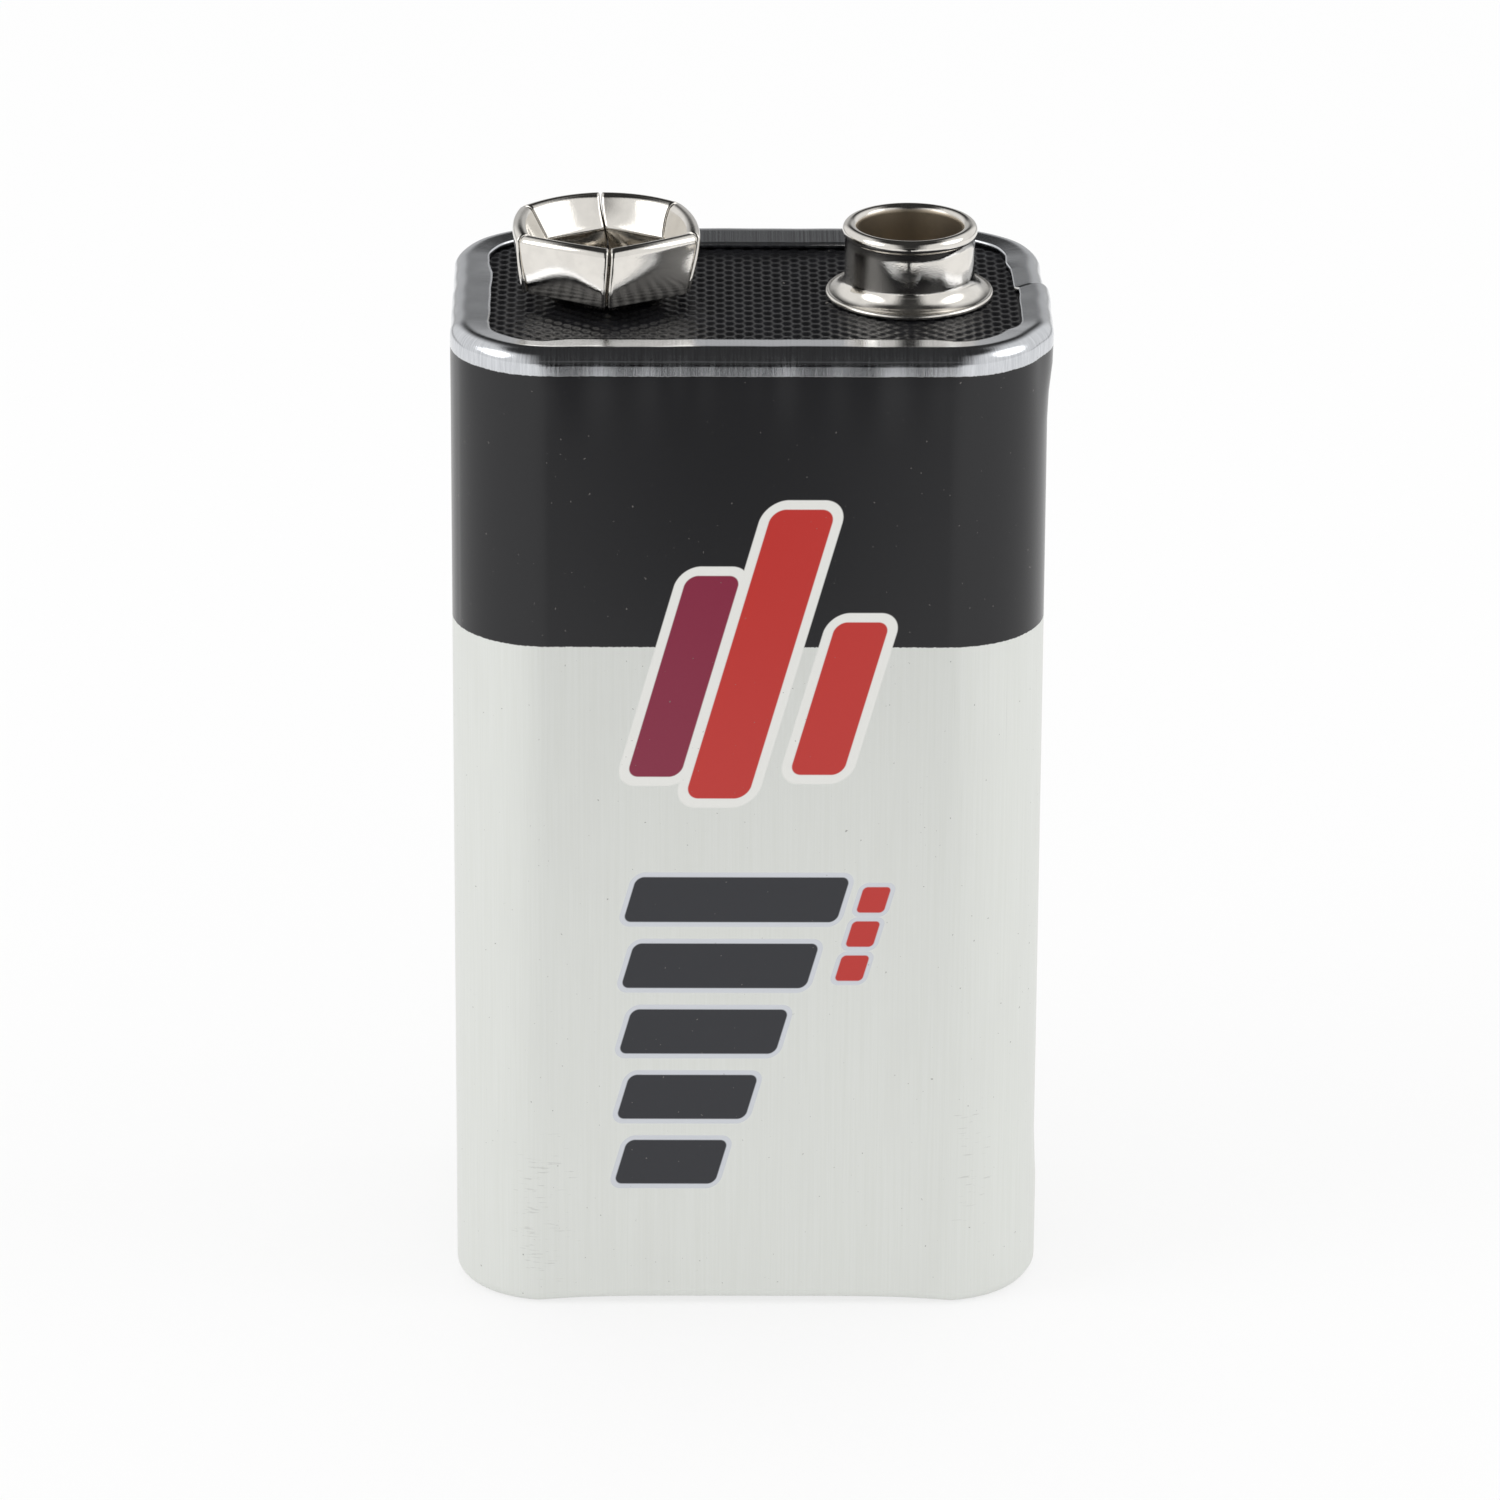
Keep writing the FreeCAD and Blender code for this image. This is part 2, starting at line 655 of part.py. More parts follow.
def negative_socket():
    """Snap socket: six petals that rise from a floor, curl over outwards and hang as skirts."""
    half = 180 / socket_sides
    wide = socket_crest * 2
    bow_axis = Vector(socket_crest - socket_bow, 0, 0)
    face = Part.Face(placed_wire(petal_section(), lambda out, z: Vector(out, 0, z)))
    sweep = 2 * math.degrees(math.asin(wide * math.sin(math.radians(half)) / socket_bow))
    petal = face.revolve(bow_axis, Vector(0, 0, 1), sweep)
    petal.rotate(bow_axis, Vector(0, 0, 1), -sweep / 2)
    reach = wide / math.cos(math.radians(half))
    arms = [Vector(reach * math.cos(a), reach * math.sin(a), 0)
            for a in (math.radians(-half), math.radians(half))]
    wedge = Part.Face(Part.makePolygon([Vector(0, 0, 0)] + arms + [Vector(0, 0, 0)]))
    petal = petal.common(wedge.extrude(Vector(0, 0, socket_height)))
    petals = [about_z(petal, 2 * half * n) for n in range(socket_sides)]
    shape = petals[0].multiFuse(petals[1:])
    cutters = [Part.makeCylinder(rivet_hole, socket_height)]
    skirt_start = socket_wall_foot + 2 * socket_sheet
    upper = Part.makeBox(wide, socket_slit, socket_height,
                         Vector(socket_floor_reach, -socket_slit / 2, socket_wall_height))
    outer = Part.makeBox(wide, socket_slit, socket_height,
                         Vector(skirt_start, -socket_slit / 2, 0))
    slit = upper.fuse(outer)
    cutters += [about_z(slit, half + 2 * half * n) for n in range(socket_sides)]
    shape = shape.cut(cutters)
    shape.translate(Vector(negative_x, 0, board_top))
    return shape


def main():
    os.makedirs("parts", exist_ok=True)
    save(jacket(), "jacket")
    save(terminal_board(), "terminal_board")
    save(bottom_plate(), "bottom_plate")
    save(insulating_sleeve(), "insulating_sleeve")
    save(top_card(), "top_card")
    save(card(plate_top, bottom_card_thickness), "bottom_card")
    save(positive_stud(), "positive_stud")
    save(negative_socket(), "negative_socket")
    save(rivet(positive_x, stud_floor), "positive_rivet")
    save(rivet(negative_x, socket_sheet), "negative_rivet")
    save(lead(1), "positive_lead")
    save(lead(-1), "negative_lead")

    # The series path runs from the front cell of the positive side to the back cell of the
    # negative side, down one column and up the next
    path = []
    for step, column in enumerate(reversed(range(cell_columns))):
        rows = list(range(cell_rows))
        path += [(column, row) for row in (rows if step % 2 == 0 else reversed(rows))]
    for number, (column, row) in enumerate(path, 1):
        save(cell(column, row, number % 2 == 1), f"cell_{number}")
    for number, pair in enumerate(zip(path, path[1:]), 1):
        low = number % 2 == 1
        name = f"lower_strap_{number // 2 + 1}" if low else f"upper_strap_{number // 2}"
        save(strap(*pair, bottom_card_top if low else cells_top), name)


main()
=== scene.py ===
import bpy
import numpy as np
from mathutils import Matrix, Vector


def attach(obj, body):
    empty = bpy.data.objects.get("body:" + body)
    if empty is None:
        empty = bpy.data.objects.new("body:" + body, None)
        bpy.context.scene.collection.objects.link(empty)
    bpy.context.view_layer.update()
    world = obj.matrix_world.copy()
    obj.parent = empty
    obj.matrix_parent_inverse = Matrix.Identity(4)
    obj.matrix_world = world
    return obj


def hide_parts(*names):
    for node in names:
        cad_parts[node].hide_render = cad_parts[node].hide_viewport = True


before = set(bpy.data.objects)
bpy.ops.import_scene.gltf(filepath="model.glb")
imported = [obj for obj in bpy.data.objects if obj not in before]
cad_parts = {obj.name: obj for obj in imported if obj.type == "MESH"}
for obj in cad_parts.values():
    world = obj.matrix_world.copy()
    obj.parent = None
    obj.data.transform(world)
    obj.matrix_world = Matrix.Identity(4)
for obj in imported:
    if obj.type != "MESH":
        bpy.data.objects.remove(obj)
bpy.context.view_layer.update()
mm = 0.001   # every size below is in millimetres, every mesh in metres


# small helpers for meshes

def smoothStep(value, low, high):
    # 0 below low, 1 above high, with an S-shaped rise between them
    t = np.clip((value - low) / (high - low), 0, 1)
    return t * t * (3 - 2 * t)


def gridFaces(rows, columns, closeRows, closeColumns, start=0):
    # quads between neighbours of a rows x columns grid of points, joined end to end where asked
    r = np.arange(rows if closeRows else rows - 1)[:, None]
    c = np.arange(columns if closeColumns else columns - 1)[None, :]
    rNext, cNext = (r + 1) % rows, (c + 1) % columns
    quads = np.stack([r * columns + c, r * columns + cNext,
                      rNext * columns + cNext, rNext * columns + c], axis=-1)
    return quads.reshape(-1, 4) + start


def meshObject(name, points, quads, uv=None):
    # points in millimetres; quads are turned round together if they enclose a negative volume
    points = np.asarray(points, float).reshape(-1, 3)
    a, b, c, d = (points[quads[:, i]] for i in range(4))
    volume = np.einsum("ij,ij->i", a, np.cross(b, c)) + np.einsum("ij,ij->i", a, np.cross(c, d))
    if volume.sum() < 0:
        quads = quads[:, ::-1]
        uv = None if uv is None else uv[:, ::-1]
    mesh = bpy.data.meshes.new(name)
    mesh.vertices.add(len(points))
    mesh.vertices.foreach_set("co", (points * mm).astype(np.float32).ravel())
    mesh.loops.add(quads.size)
    mesh.loops.foreach_set("vertex_index", quads.astype(np.int32).ravel())
    mesh.polygons.add(len(quads))
    mesh.polygons.foreach_set("loop_start", np.arange(0, quads.size, 4, dtype=np.int32))
    mesh.update(calc_edges=True)
    mesh.validate()
    if uv is not None:
        layer = mesh.uv_layers.new(name="unrolled")
        layer.uv.foreach_set("vector", uv.astype(np.float32).ravel())
    mesh.shade_smooth()
    piece = bpy.data.objects.new(name, mesh)
    bpy.context.scene.collection.objects.link(piece)
    return piece


# the jacket

jacket = {
    "left": -12.83, "right": 12.51, "front": -8.41, "back": 8.41,
    "cornerRadius": 4.15,
    "sheet": 0.2,
    "crest": 44.25,          # top of the rolled rim
    "boardTop": 43.94,
    "rimRoll": 0.7,          # outside radius of the rolled rim
    "footRoll": 0.6,
    "footPlate": 0.45,       # height of the plate that the lower fold holds
    "cornerReach": 1.5,      # how far the fold reaches in at the corners
    # per side: how far its top flap reaches in, the middle and half length of its straight
    # edge, counted the way round, and the length of the taper at each of its ends
    "flap": {"right": (1.34, -1.2, 4.05, 0.7), "back": (2.5, 0.0, 7.6, 1.0),
             "left": (1.66, 1.43, 3.47, 1.2), "front": (1.78, 0.0, 7.7, 1.0)},
    "footFlap": {"right": (1.6, 0.0, 3.6, 1.0), "back": (2.1, 0.0, 6.0, 1.2),
                 "left": (1.6, 0.0, 3.6, 1.0), "front": (2.1, 0.0, 6.0, 1.2)},
    "flapLift": 0.05, "footLift": 0.02,      # of the flaps' edges off what they hold
    "footArch": 0.22,        # the long lower edges are drawn up by this much
    "archPast": 0.6,         # the arch starts this far past each end of the straight run
    "archRun": 6.5,          # and has its full height after this length
    "seamY": 0.86,           # the lap's edge on the right-hand side, at the wall
    "seamLean": 0.6,         # it slants towards the front on the flap
    "leanSpread": 1.6,       # and what lies this near slants with it
    "lapStep": 0.05,         # how far the upper sheet stands out over the lower one
    "lapLength": 4.6, "lapEnd": 7.0,         # in front of the edge, where it starts to die away
    "behindShare": 0.35, "behindRun": 1.5,   # what is left of it behind the edge
    "rimBulge": 0.235,       # the lap pushes the rim out by this much here, and the foot
    "footBulge": 0.11,
    "rimHeights": (40.2, 43.0), "footHeights": (4.4, 6.4),   # where these two grow and end
    "rimWaves": [(0.012, 1.31, 0.4), (0.01, 2.77, 1.9)],     # height, turn per millimetre, phase
    "limits": (-12.825, 12.825),   # nothing may stand out farther than this
    "pillow": 0.035,         # each wall but the left one swells this much at its middle
    "columnStep": 0.13,
    "seamColumns": (0.02, 0.05),   # more columns this far from each side of the seam
    "rimSteps": (8, 15), "footSteps": (6, 12),   # points on a flap and on its roll
    "wallSteps": 36,
}


def roundTheBox(distance, size):
    # walks the outline from the middle of the right side towards the back: straight runs and
    # quarter circles in turn. Returns the place and the outward direction for each distance.
    r = size["cornerRadius"]
    wide = size["right"] - size["left"] - 2 * r
    deep = size["back"] - size["front"] - 2 * r
    arc = np.pi / 2 * r
    runs = np.array([deep / 2, arc, wide, arc, deep, arc, wide, arc, deep / 2])
    ends = np.cumsum(runs)
    index = np.clip(np.searchsorted(ends, distance, side="right"), 0, 8)
    along = distance - (ends - runs)[index]
    xHigh, xLow = size["right"] - r, size["left"] + r
    yHigh, yLow = size["back"] - r, size["front"] + r
    midY = (yHigh + yLow) / 2
    startX = np.array([size["right"], 0, xHigh, 0, size["left"], 0, xLow, 0, size["right"]])[index]
    startY = np.array([midY, 0, size["back"], 0, yHigh, 0, size["front"], 0, yLow])[index]
    wayX = np.array([0, 0, -1, 0, 0, 0, 1, 0, 0])[index]
    wayY = np.array([1, 0, 0, 0, -1, 0, 0, 0, 1])[index]
    centreX = np.array([0, xHigh, 0, xLow, 0, xLow, 0, xHigh, 0])[index]
    centreY = np.array([0, yHigh, 0, yHigh, 0, yLow, 0, yLow, 0])[index]
    turn = np.radians(np.array([0, 0, 90, 90, 180, 180, 270, 270, 360]))[index]
    isArc = index % 2 == 1
    turn = turn + np.where(isArc, along / r, 0)
    x = np.where(isArc, centreX + r * np.cos(turn), startX + wayX * along)
    y = np.where(isArc, centreY + r * np.sin(turn), startY + wayY * along)
    return x, y, np.cos(turn), np.sin(turn), ends[-1]


def foldedEdge(roll, rise, reach, lift, sheet, steps, rolls):
    # section of a folded edge, from its free edge to the wall, as (inward, down from the crest).
    # The flat part leaves the roll at a tangent and ends lift above the plate; the roll is the
    # arc whose direction turns from the flat part's to the wall's. One column per place.
    across, up = reach - roll, lift - rise + roll
    slope = np.arctan2(across, up) - np.arccos((roll - sheet) / np.hypot(across, up))
    lines = []
    for radius, thick in ((roll, sheet), (roll - sheet, 0.0)):
        angle = slope + (-np.pi / 2 - slope) * np.linspace(0, 1, rolls)[:, None]
        arcIn = roll + radius * np.sin(angle)
        arcDown = roll - radius * np.cos(angle)
        edgeIn = reach + thick * np.sin(slope)
        edgeDown = rise - lift - thick * np.cos(slope)
        part = np.linspace(0, 1, steps, endpoint=False)[:, None]
        lines.append((np.concatenate([edgeIn + (arcIn[:1] - edgeIn) * part, arcIn]),
                      np.concatenate([edgeDown + (arcDown[:1] - edgeDown) * part, arcDown])))
    return lines


def wayRound(distance, place, total):
    # signed length from a place on the outline to each distance, by the shorter way round
    return (distance - place + total / 2) % total - total / 2


def flapShape(distance, total, centres, cornerReach, flaps):
    # reach of the fold all the way round: the corner's reach, and at each side a flap whose
    # ends are cut back along a straight taper
    reach = np.full_like(distance, cornerReach)
    for side, centre in centres.items():
        depth, middle, half, taper = flaps[side]
        offset = np.abs(wayRound(distance, centre + middle, total))
        reach += np.clip((half + taper - offset) / taper, 0, 1) * (depth - cornerReach)
    return reach


def buildJacket(size):
    # at each place of the outline stands one closed section of the sheet, and sine waves, steps
    # and swellings move the points a little off it, along the wall's outward direction
    total = roundTheBox(np.array([0.0]), size)[4]
    wide = size["right"] - size["left"]
    deep = size["back"] - size["front"]
    middleX = (size["left"] + size["right"]) / 2
    centres = {"right": 0.0, "back": total / 4, "left": total / 2, "front": 3 * total / 4}
    start = size["seamY"]
    distance = np.linspace(start, start + total, int(total / size["columnStep"]), endpoint=False)
    near = np.array(size["seamColumns"])
    distance = np.unique(np.concatenate([distance, start + near, start + total - near]))
    walked = distance - start                     # 0 at the seam, for the unrolled print
    around = distance % total
    x, y, nx, ny, _ = roundTheBox(around, size)

    sheet = size["sheet"]
    reach = flapShape(around, total, centres, size["cornerReach"], size["flap"])
    topOut, topIn = foldedEdge(size["rimRoll"], size["crest"] - size["boardTop"], reach,
                               size["flapLift"], sheet, *size["rimSteps"])
    footReach = flapShape(around, total, centres, size["cornerReach"], size["footFlap"])
    # the arch rises from both ends of each wide wall, steeply first and then level
    offMiddle = np.minimum(*(np.abs(wayRound(around, centres[side], total))
                             for side in ("front", "back")))
    archEnd = wide / 2 - size["cornerRadius"] + size["archPast"]
    along = np.clip((archEnd - offMiddle) / size["archRun"], 0, 1)
    arch = size["footArch"] * (1 - (1 - along) ** 3)
    footOut, footIn = foldedEdge(size["footRoll"], size["footPlate"] - arch, footReach,
                                 size["footLift"], sheet, *size["footSteps"])

    # one closed section per column: top fold, wall, foot fold, and back up on the inside
    wallSteps = np.linspace(0, 1, size["wallSteps"])[1:-1, None]
    sections = []
    for (tIn, tDown), (fIn, fDown), inset in ((topOut, footOut, 0.0), (topIn, footIn, sheet)):
        topZ, footZ = size["crest"] - tDown, arch + fDown
        wallZ = topZ[-1:] + (footZ[-1:] - topZ[-1:]) * wallSteps
        wallIn = np.full_like(wallZ, inset)
        sections.append((np.concatenate([tIn, wallIn, fIn[::-1]]),
                         np.concatenate([topZ, wallZ, footZ[::-1]])))
    inward = np.concatenate([sections[0][0], sections[1][0][::-1]])
    z = np.concatenate([sections[0][1], sections[1][1][::-1]])

    # out of the ideal shape: the lap's step, which lies in front of its edge and dies away into
    # the corner, the bulge that it gives to the rim and the foot, a slight swell of the walls,
    # and a rim that isn't perfectly even
    fromSeam = wayRound(around, start, total)
    lapped = np.where(fromSeam < 0, 1 - smoothStep(-fromSeam, size["lapLength"], size["lapEnd"]),
                      size["behindShare"] * np.exp(-fromSeam / size["behindRun"]))
    atRim = smoothStep(z, *size["rimHeights"])
    atFoot = 1 - smoothStep(z, *size["footHeights"])
    bulge = lapped * (size["lapStep"] + size["rimBulge"] * atRim + size["footBulge"] * atFoot)
    swell = size["pillow"] * (nx ** 2 * np.cos(np.pi * np.clip(y / deep, -0.5, 0.5))
                              + ny ** 2 * np.cos(np.pi * np.clip((x - middleX) / wide, -0.5, 0.5)))
    facesLeft = nx < -0.9
    swell = np.where(facesLeft, 0, swell)         # the left wall already stands at its limit
    swell = swell * np.sin(np.pi * np.clip(z / size["crest"], 0, 1)) ** 0.5
    uneven = sum(high * np.sin(around * turn + phase) for high, turn, phase in size["rimWaves"])
    out = swell + bulge + uneven * atRim - inward
    onTop = z > size["crest"] / 2
    slant = (size["seamLean"] * np.clip(inward - sheet, 0, None) * onTop
             * np.exp(-(fromSeam / size["leanSpread"]) ** 2))
    xPlace = np.clip(x + nx * out + ny * slant, *size["limits"])
    points = np.stack([xPlace, y + ny * out - nx * slant, z], axis=-1)

    rows, columns = z.shape
    quads = gridFaces(rows, columns, True, True)
    u = np.concatenate([walked, [total]])
    cIndex = np.tile(np.arange(columns), rows)
    rIndex = np.repeat(np.arange(rows), columns)
    zNext = np.roll(z, -1, axis=0)
    uv = np.empty((len(quads), 4, 2))
    uv[:, 0, 0] = uv[:, 3, 0] = u[cIndex]
    uv[:, 1, 0] = uv[:, 2, 0] = u[cIndex + 1]
    uv[:, 0, 1] = z[rIndex, cIndex]
    uv[:, 1, 1] = z[rIndex, (cIndex + 1) % columns]
    uv[:, 2, 1] = zNext[rIndex, (cIndex + 1) % columns]
    uv[:, 3, 1] = zNext[rIndex, cIndex]
    return meshObject("jacketSheet", points, quads, uv)


# the terminal board, with its pressed texture

board = {
    "left": -12.56, "right": 12.24, "front": -8.15, "back": 8.15,
    "cornerRadius": 3.8,
    "top": 43.94, "thickness": 1.2,
    "edgeRound": 0.4, "footBevel": (0.3, 0.05),   # of the upper edge, and across and up below
    "underReach": 2.0, "topReach": 0.9,           # of the edge's ring, on the two faces
    "ringPoints": 360,
    "cellX": 0.405, "cellY": 0.333,   # half the pattern's period each way
    "cutsX": 5, "cutsY": 4,           # steps of the grid in each half period
    "relief": 0.07,
    "pitWave": (-0.6, 0.85),          # of the wave, where a pit starts and where it is deepest
    "pitFade": 0.3,                   # the pits get shallow over this width at the border
    "texturedX": 11.6, "texturedY": 7.2, "texturedCorner": 3.4,   # half sizes of the pattern
}


def buildBoard(size):
    # the edge is a ring of rounded section. The top is a grid: pits lie where the product of a
    # cosine along X and one along Y is high, so they stand on a diamond lattice, with thin
    # ridges between them.
    total = roundTheBox(np.array([0.0]), size)[4]
    distance = np.linspace(0, total, size["ringPoints"], endpoint=False)
    x, y, nx, ny, _ = roundTheBox(distance, size)
    thick, bend = size["thickness"], size["edgeRound"]
    bevelIn, bevelUp = size["footBevel"]
    turn = np.linspace(0, np.pi / 2, 7)
    inset = np.concatenate([[size["underReach"], bevelIn, 0.0], bend - bend * np.cos(turn),
                            [size["topReach"]]])
    level = np.concatenate([[-thick, -thick, -thick + bevelUp], -bend + bend * np.sin(turn), [0.0]])
    ring = np.stack([x - nx * inset[:, None], y - ny * inset[:, None],
                     np.broadcast_to(size["top"] + level[:, None], (len(inset), len(x)))], -1)
    ringQuads = gridFaces(len(inset), len(x), False, True)
    halfX, halfY, corner = size["texturedX"], size["texturedY"], size["texturedCorner"]
    stepX, stepY = size["cellX"] / size["cutsX"], size["cellY"] / size["cutsY"]
    gridX = np.arange(-halfX, halfX + stepX / 2, stepX)
    gridY = np.arange(-halfY, halfY + stepY / 2, stepY)
    px, py = np.meshgrid(gridX, gridY, indexing="ij")
    edge = np.minimum(halfX - np.abs(px), halfY - np.abs(py))
    # each square corner of the grid is drawn in to a quarter disc
    u = np.clip(np.abs(px) - halfX + corner, 0, None) / corner
    v = np.clip(np.abs(py) - halfY + corner, 0, None) / corner
    drawX = 1 - np.sqrt(1 - np.clip(v, 0, 1) ** 2 / 2)
    drawY = 1 - np.sqrt(1 - np.clip(u, 0, 1) ** 2 / 2)
    px = np.sign(px) * (np.abs(px) - corner * u * drawX)
    py = np.sign(py) * (np.abs(py) - corner * v * drawY)
    wave = np.cos(np.pi * px / size["cellX"]) * np.cos(np.pi * py / size["cellY"])
    pit = smoothStep(wave, *size["pitWave"]) * smoothStep(edge, 0.0, size["pitFade"])
    middleX = (size["left"] + size["right"]) / 2
    plate = np.stack([px + middleX, py, size["top"] - size["relief"] * pit], -1)
    plateQuads = gridFaces(len(gridX), len(gridY), False, False, ring.shape[0] * ring.shape[1])
    points = np.concatenate([ring.reshape(-1, 3), plate.reshape(-1, 3)])
    return meshObject("boardTexture", points, np.concatenate([ringQuads, plateQuads]))


# the drawn stud

stud = {
    "x": 6.745, "y": 0.0, "foot": 43.94,
    "height": 3.24,
    "bead": 2.89, "neck": 2.78, "inner": 2.24,
    "flange": 3.6, "flangeEdge": 0.22, "flare": 0.76,
    "lip": 0.13, "lipHeight": 0.12,          # radius of the flange's rim, and its middle
    "rimIn": 0.12, "underIn": 0.5, "under": 0.02,   # the flange's lower face rises behind its rim
    "floor": 0.25, "hole": 1.28, "bend": 0.3,
    "innerLevels": (1.2, 2.2), "outerLevels": (2.3, 1.9, 1.4),   # of the straight walls' points
    "segments": 192, "wobble": 0.0015,
}


def arcPoints(centre, radius, fromDegrees, toDegrees, count):
    # points on a circle about the centre, evenly spaced in angle
    angle = np.radians(np.linspace(fromDegrees, toDegrees, count))
    return np.stack([centre[0] + radius * np.cos(angle), centre[1] + radius * np.sin(angle)], -1)


def turnedPoints(profile, axis, segments, wobble=0.0):
    # the profile's (radius, height) carried round the axis, a little out of round where asked
    angle = np.linspace(0, 2 * np.pi, segments, endpoint=False)[None, :]
    r = profile[:, :1] * (1 + wobble * np.cos(2 * angle + 0.7) + 0.5 * wobble * np.cos(3 * angle))
    z = np.broadcast_to(profile[:, 1:], r.shape)
    return np.stack([axis[0] + r * np.cos(angle), axis[1] + r * np.sin(angle), z], -1)


def buildStud(size):
    # a profile of straight walls and arcs, turned: from the hole across the floor, up the cup,
    # over the bead, down the neck, out along the flare to the flange's rim, and back below
    foot, top = size["foot"], size["foot"] + size["height"]
    inner, neck, flange, bend = size["inner"], size["neck"], size["flange"], size["bend"]
    roll = (size["bead"] - inner) / 2
    crown = (inner + roll, top - roll)
    crease = -np.degrees(np.arccos((neck - crown[0]) / roll))   # where the bead meets the neck
    edge, flare, lip, under = size["flangeEdge"], size["flare"], size["lip"], size["under"]
    profile = np.concatenate([
        [[size["hole"], foot + size["floor"]]],
        arcPoints((inner - bend, foot + size["floor"] + bend), bend, -90, 0, 6),
        [[inner, foot + level] for level in size["innerLevels"]],
        arcPoints(crown, roll, 180, crease, 26),
        [[neck, foot + level] for level in size["outerLevels"]],
        arcPoints((neck + flare, foot + edge + flare), flare, 180, 265, 14),
        arcPoints((flange - lip, foot + size["lipHeight"]), lip, 80, -60, 8),
        [[flange - size["rimIn"], foot], [flange - size["underIn"], foot + under],
         [neck, foot + under], [size["hole"], foot]],
    ])
    points = turnedPoints(profile, (size["x"], size["y"]), size["segments"], size["wobble"])
    quads = gridFaces(len(profile), size["segments"], True, True)
    return meshObject("studShell", points, quads)


# the snap socket

socket = {
    "x": -6.185, "y": 0.0, "foot": 43.94,
    "sheet": 0.26,
    "slit": 0.12, "leastHalf": 0.05,         # a petal's half width never gets less than this
    "belly": 0.06,           # the skirts swell by this much halfway down
    "floorFrom": 1.2, "floorReach": 2.2,
    "wallFoot": (2.78, 0.75),
    "throat": (2.62, 1.9),
    "crest": 3.52, "height": 3.245, "roll": 0.31,
    "skirtFoot": 3.5, "skirtGap": 0.72,
    "beforeSkirt": 1.63,     # length of the sheet up to the crest, in lengths of the skirt
    "bow": 0.22, "bowHeights": (1.0, 3.0),   # the petals bow out from the first height up
    "cornerDip": 0.05,       # a crest's ends lie lower than its middle by this much
    # per petal, from the right-hand one round towards the back: how far its skirt is bent out
    "skirts": [0.02, 0.05, 0.0, 0.12, -0.02, 0.03],
    # the crests don't stand on a regular hexagon: how far the corner after each petal, in the
    # same order, is pushed to the right and to the back
    "corners": [(-0.6, 0.66), (-0.33, 0.0), (0.02, 0.2), (0.02, 0.34), (0.12, 0.52), (0.1, 0.68)],
    "pushHeights": (0.9, 3.1),               # the push grows between these
    "edgeRound": 0.05, "endRound": 0.04, "endShare": 0.35,   # of the sheet's cut edges
    "crestPoints": 24, "sectionPoints": 150, "acrossPoints": 25,
    # the floor's section: radius, and height in thicknesses of the sheet
    "floorRing": [(1.28, 0.0), (1.28, 1.0), (1.9, 1.0), (2.15, 0.7), (2.0, 0.0)],
    "floorPoints": 96,
}


def petalSection(size):
    # middle line of the sheet as (from the axis, height): floor, bend, wall, throat, funnel,
    # curled crest and skirt. The funnel and the skirt leave the crest's arc at a tangent, and
    # a running mean rounds the corners.
    t = size["sheet"]
    roll = size["roll"] - t / 2
    centre = (size["crest"], size["height"] - size["roll"])
    corner = np.array([(size["floorFrom"], t / 2), (size["floorReach"], t / 2),
                       (size["wallFoot"][0] + t / 2, size["wallFoot"][1]),
                       (size["throat"][0] + t / 2, size["throat"][1])])
    toThroat = corner[-1] - centre
    leave = (360 + np.degrees(np.arctan2(toThroat[1], toThroat[0])
             - np.arccos(roll / np.hypot(*toThroat))))
    foot = np.array([size["skirtFoot"] - t / 2, size["skirtGap"]])
    toFoot = foot - centre
    arrive = np.degrees(np.arctan2(toFoot[1], toFoot[0]) + np.arccos(roll / np.hypot(*toFoot)))
    arc = arcPoints(centre, roll, leave, arrive, size["crestPoints"])
    line = np.concatenate([corner, arc, foot[None]])
    step = np.hypot(*np.diff(line, axis=0).T)
    length = np.concatenate([[0], np.cumsum(step)])
    even = np.linspace(0, length[-1], size["sectionPoints"])
    fine = np.stack([np.interp(even, length, line[:, i]) for i in (0, 1)], -1)
    weights = np.array([1, 2, 3, 2, 1]) / 9
    padded = np.pad(fine, ((2, 2), (0, 0)), mode="reflect", reflect_type="odd")
    return np.stack([np.convolve(padded[:, i], weights, mode="valid") for i in (0, 1)], -1)


def petalSurface(size, number):
    # the section is carried straight across the petal, whose width grows with the distance
    # from the axis as a hexagon's side does, less half a slit at each end, and bows a little
    section = petalSection(size)
    level = section[:, 1]
    down = np.clip(np.linspace(-size["beforeSkirt"], 1, len(section)), 0, 1)
    reach = (section[:, 0] + size["skirts"][number] * smoothStep(down, 0, 1)
             + size["belly"] * np.sin(np.pi * down))
    across = np.linspace(-1, 1, size["acrossPoints"])[None, :]
    halfWidth = reach * np.tan(np.pi / 6) - size["slit"] / 2
    side = across * np.maximum(halfWidth, size["leastHalf"])[:, None]
    rise = smoothStep(level, *size["bowHeights"])[:, None]
    out = reach[:, None] + size["bow"] * rise * (1 - across ** 2)
    up = level[:, None] - size["cornerDip"] * rise * across ** 2
    angle = np.radians(60 * number)
    x = size["x"] + out * np.cos(angle) - side * np.sin(angle)
    y = size["y"] + out * np.sin(angle) + side * np.cos(angle)
    # each crest is carried along with its two corners, more so the higher it stands
    before, after = (np.array(size["corners"][k % 6]) for k in (number - 1, number))
    part = (across + 1)[..., None] / 2
    higher = smoothStep(level, *size["pushHeights"])[:, None, None]
    push = (before + (after - before) * part) * higher
    return np.stack([x + push[..., 0], y + push[..., 1], size["foot"] + up], -1)


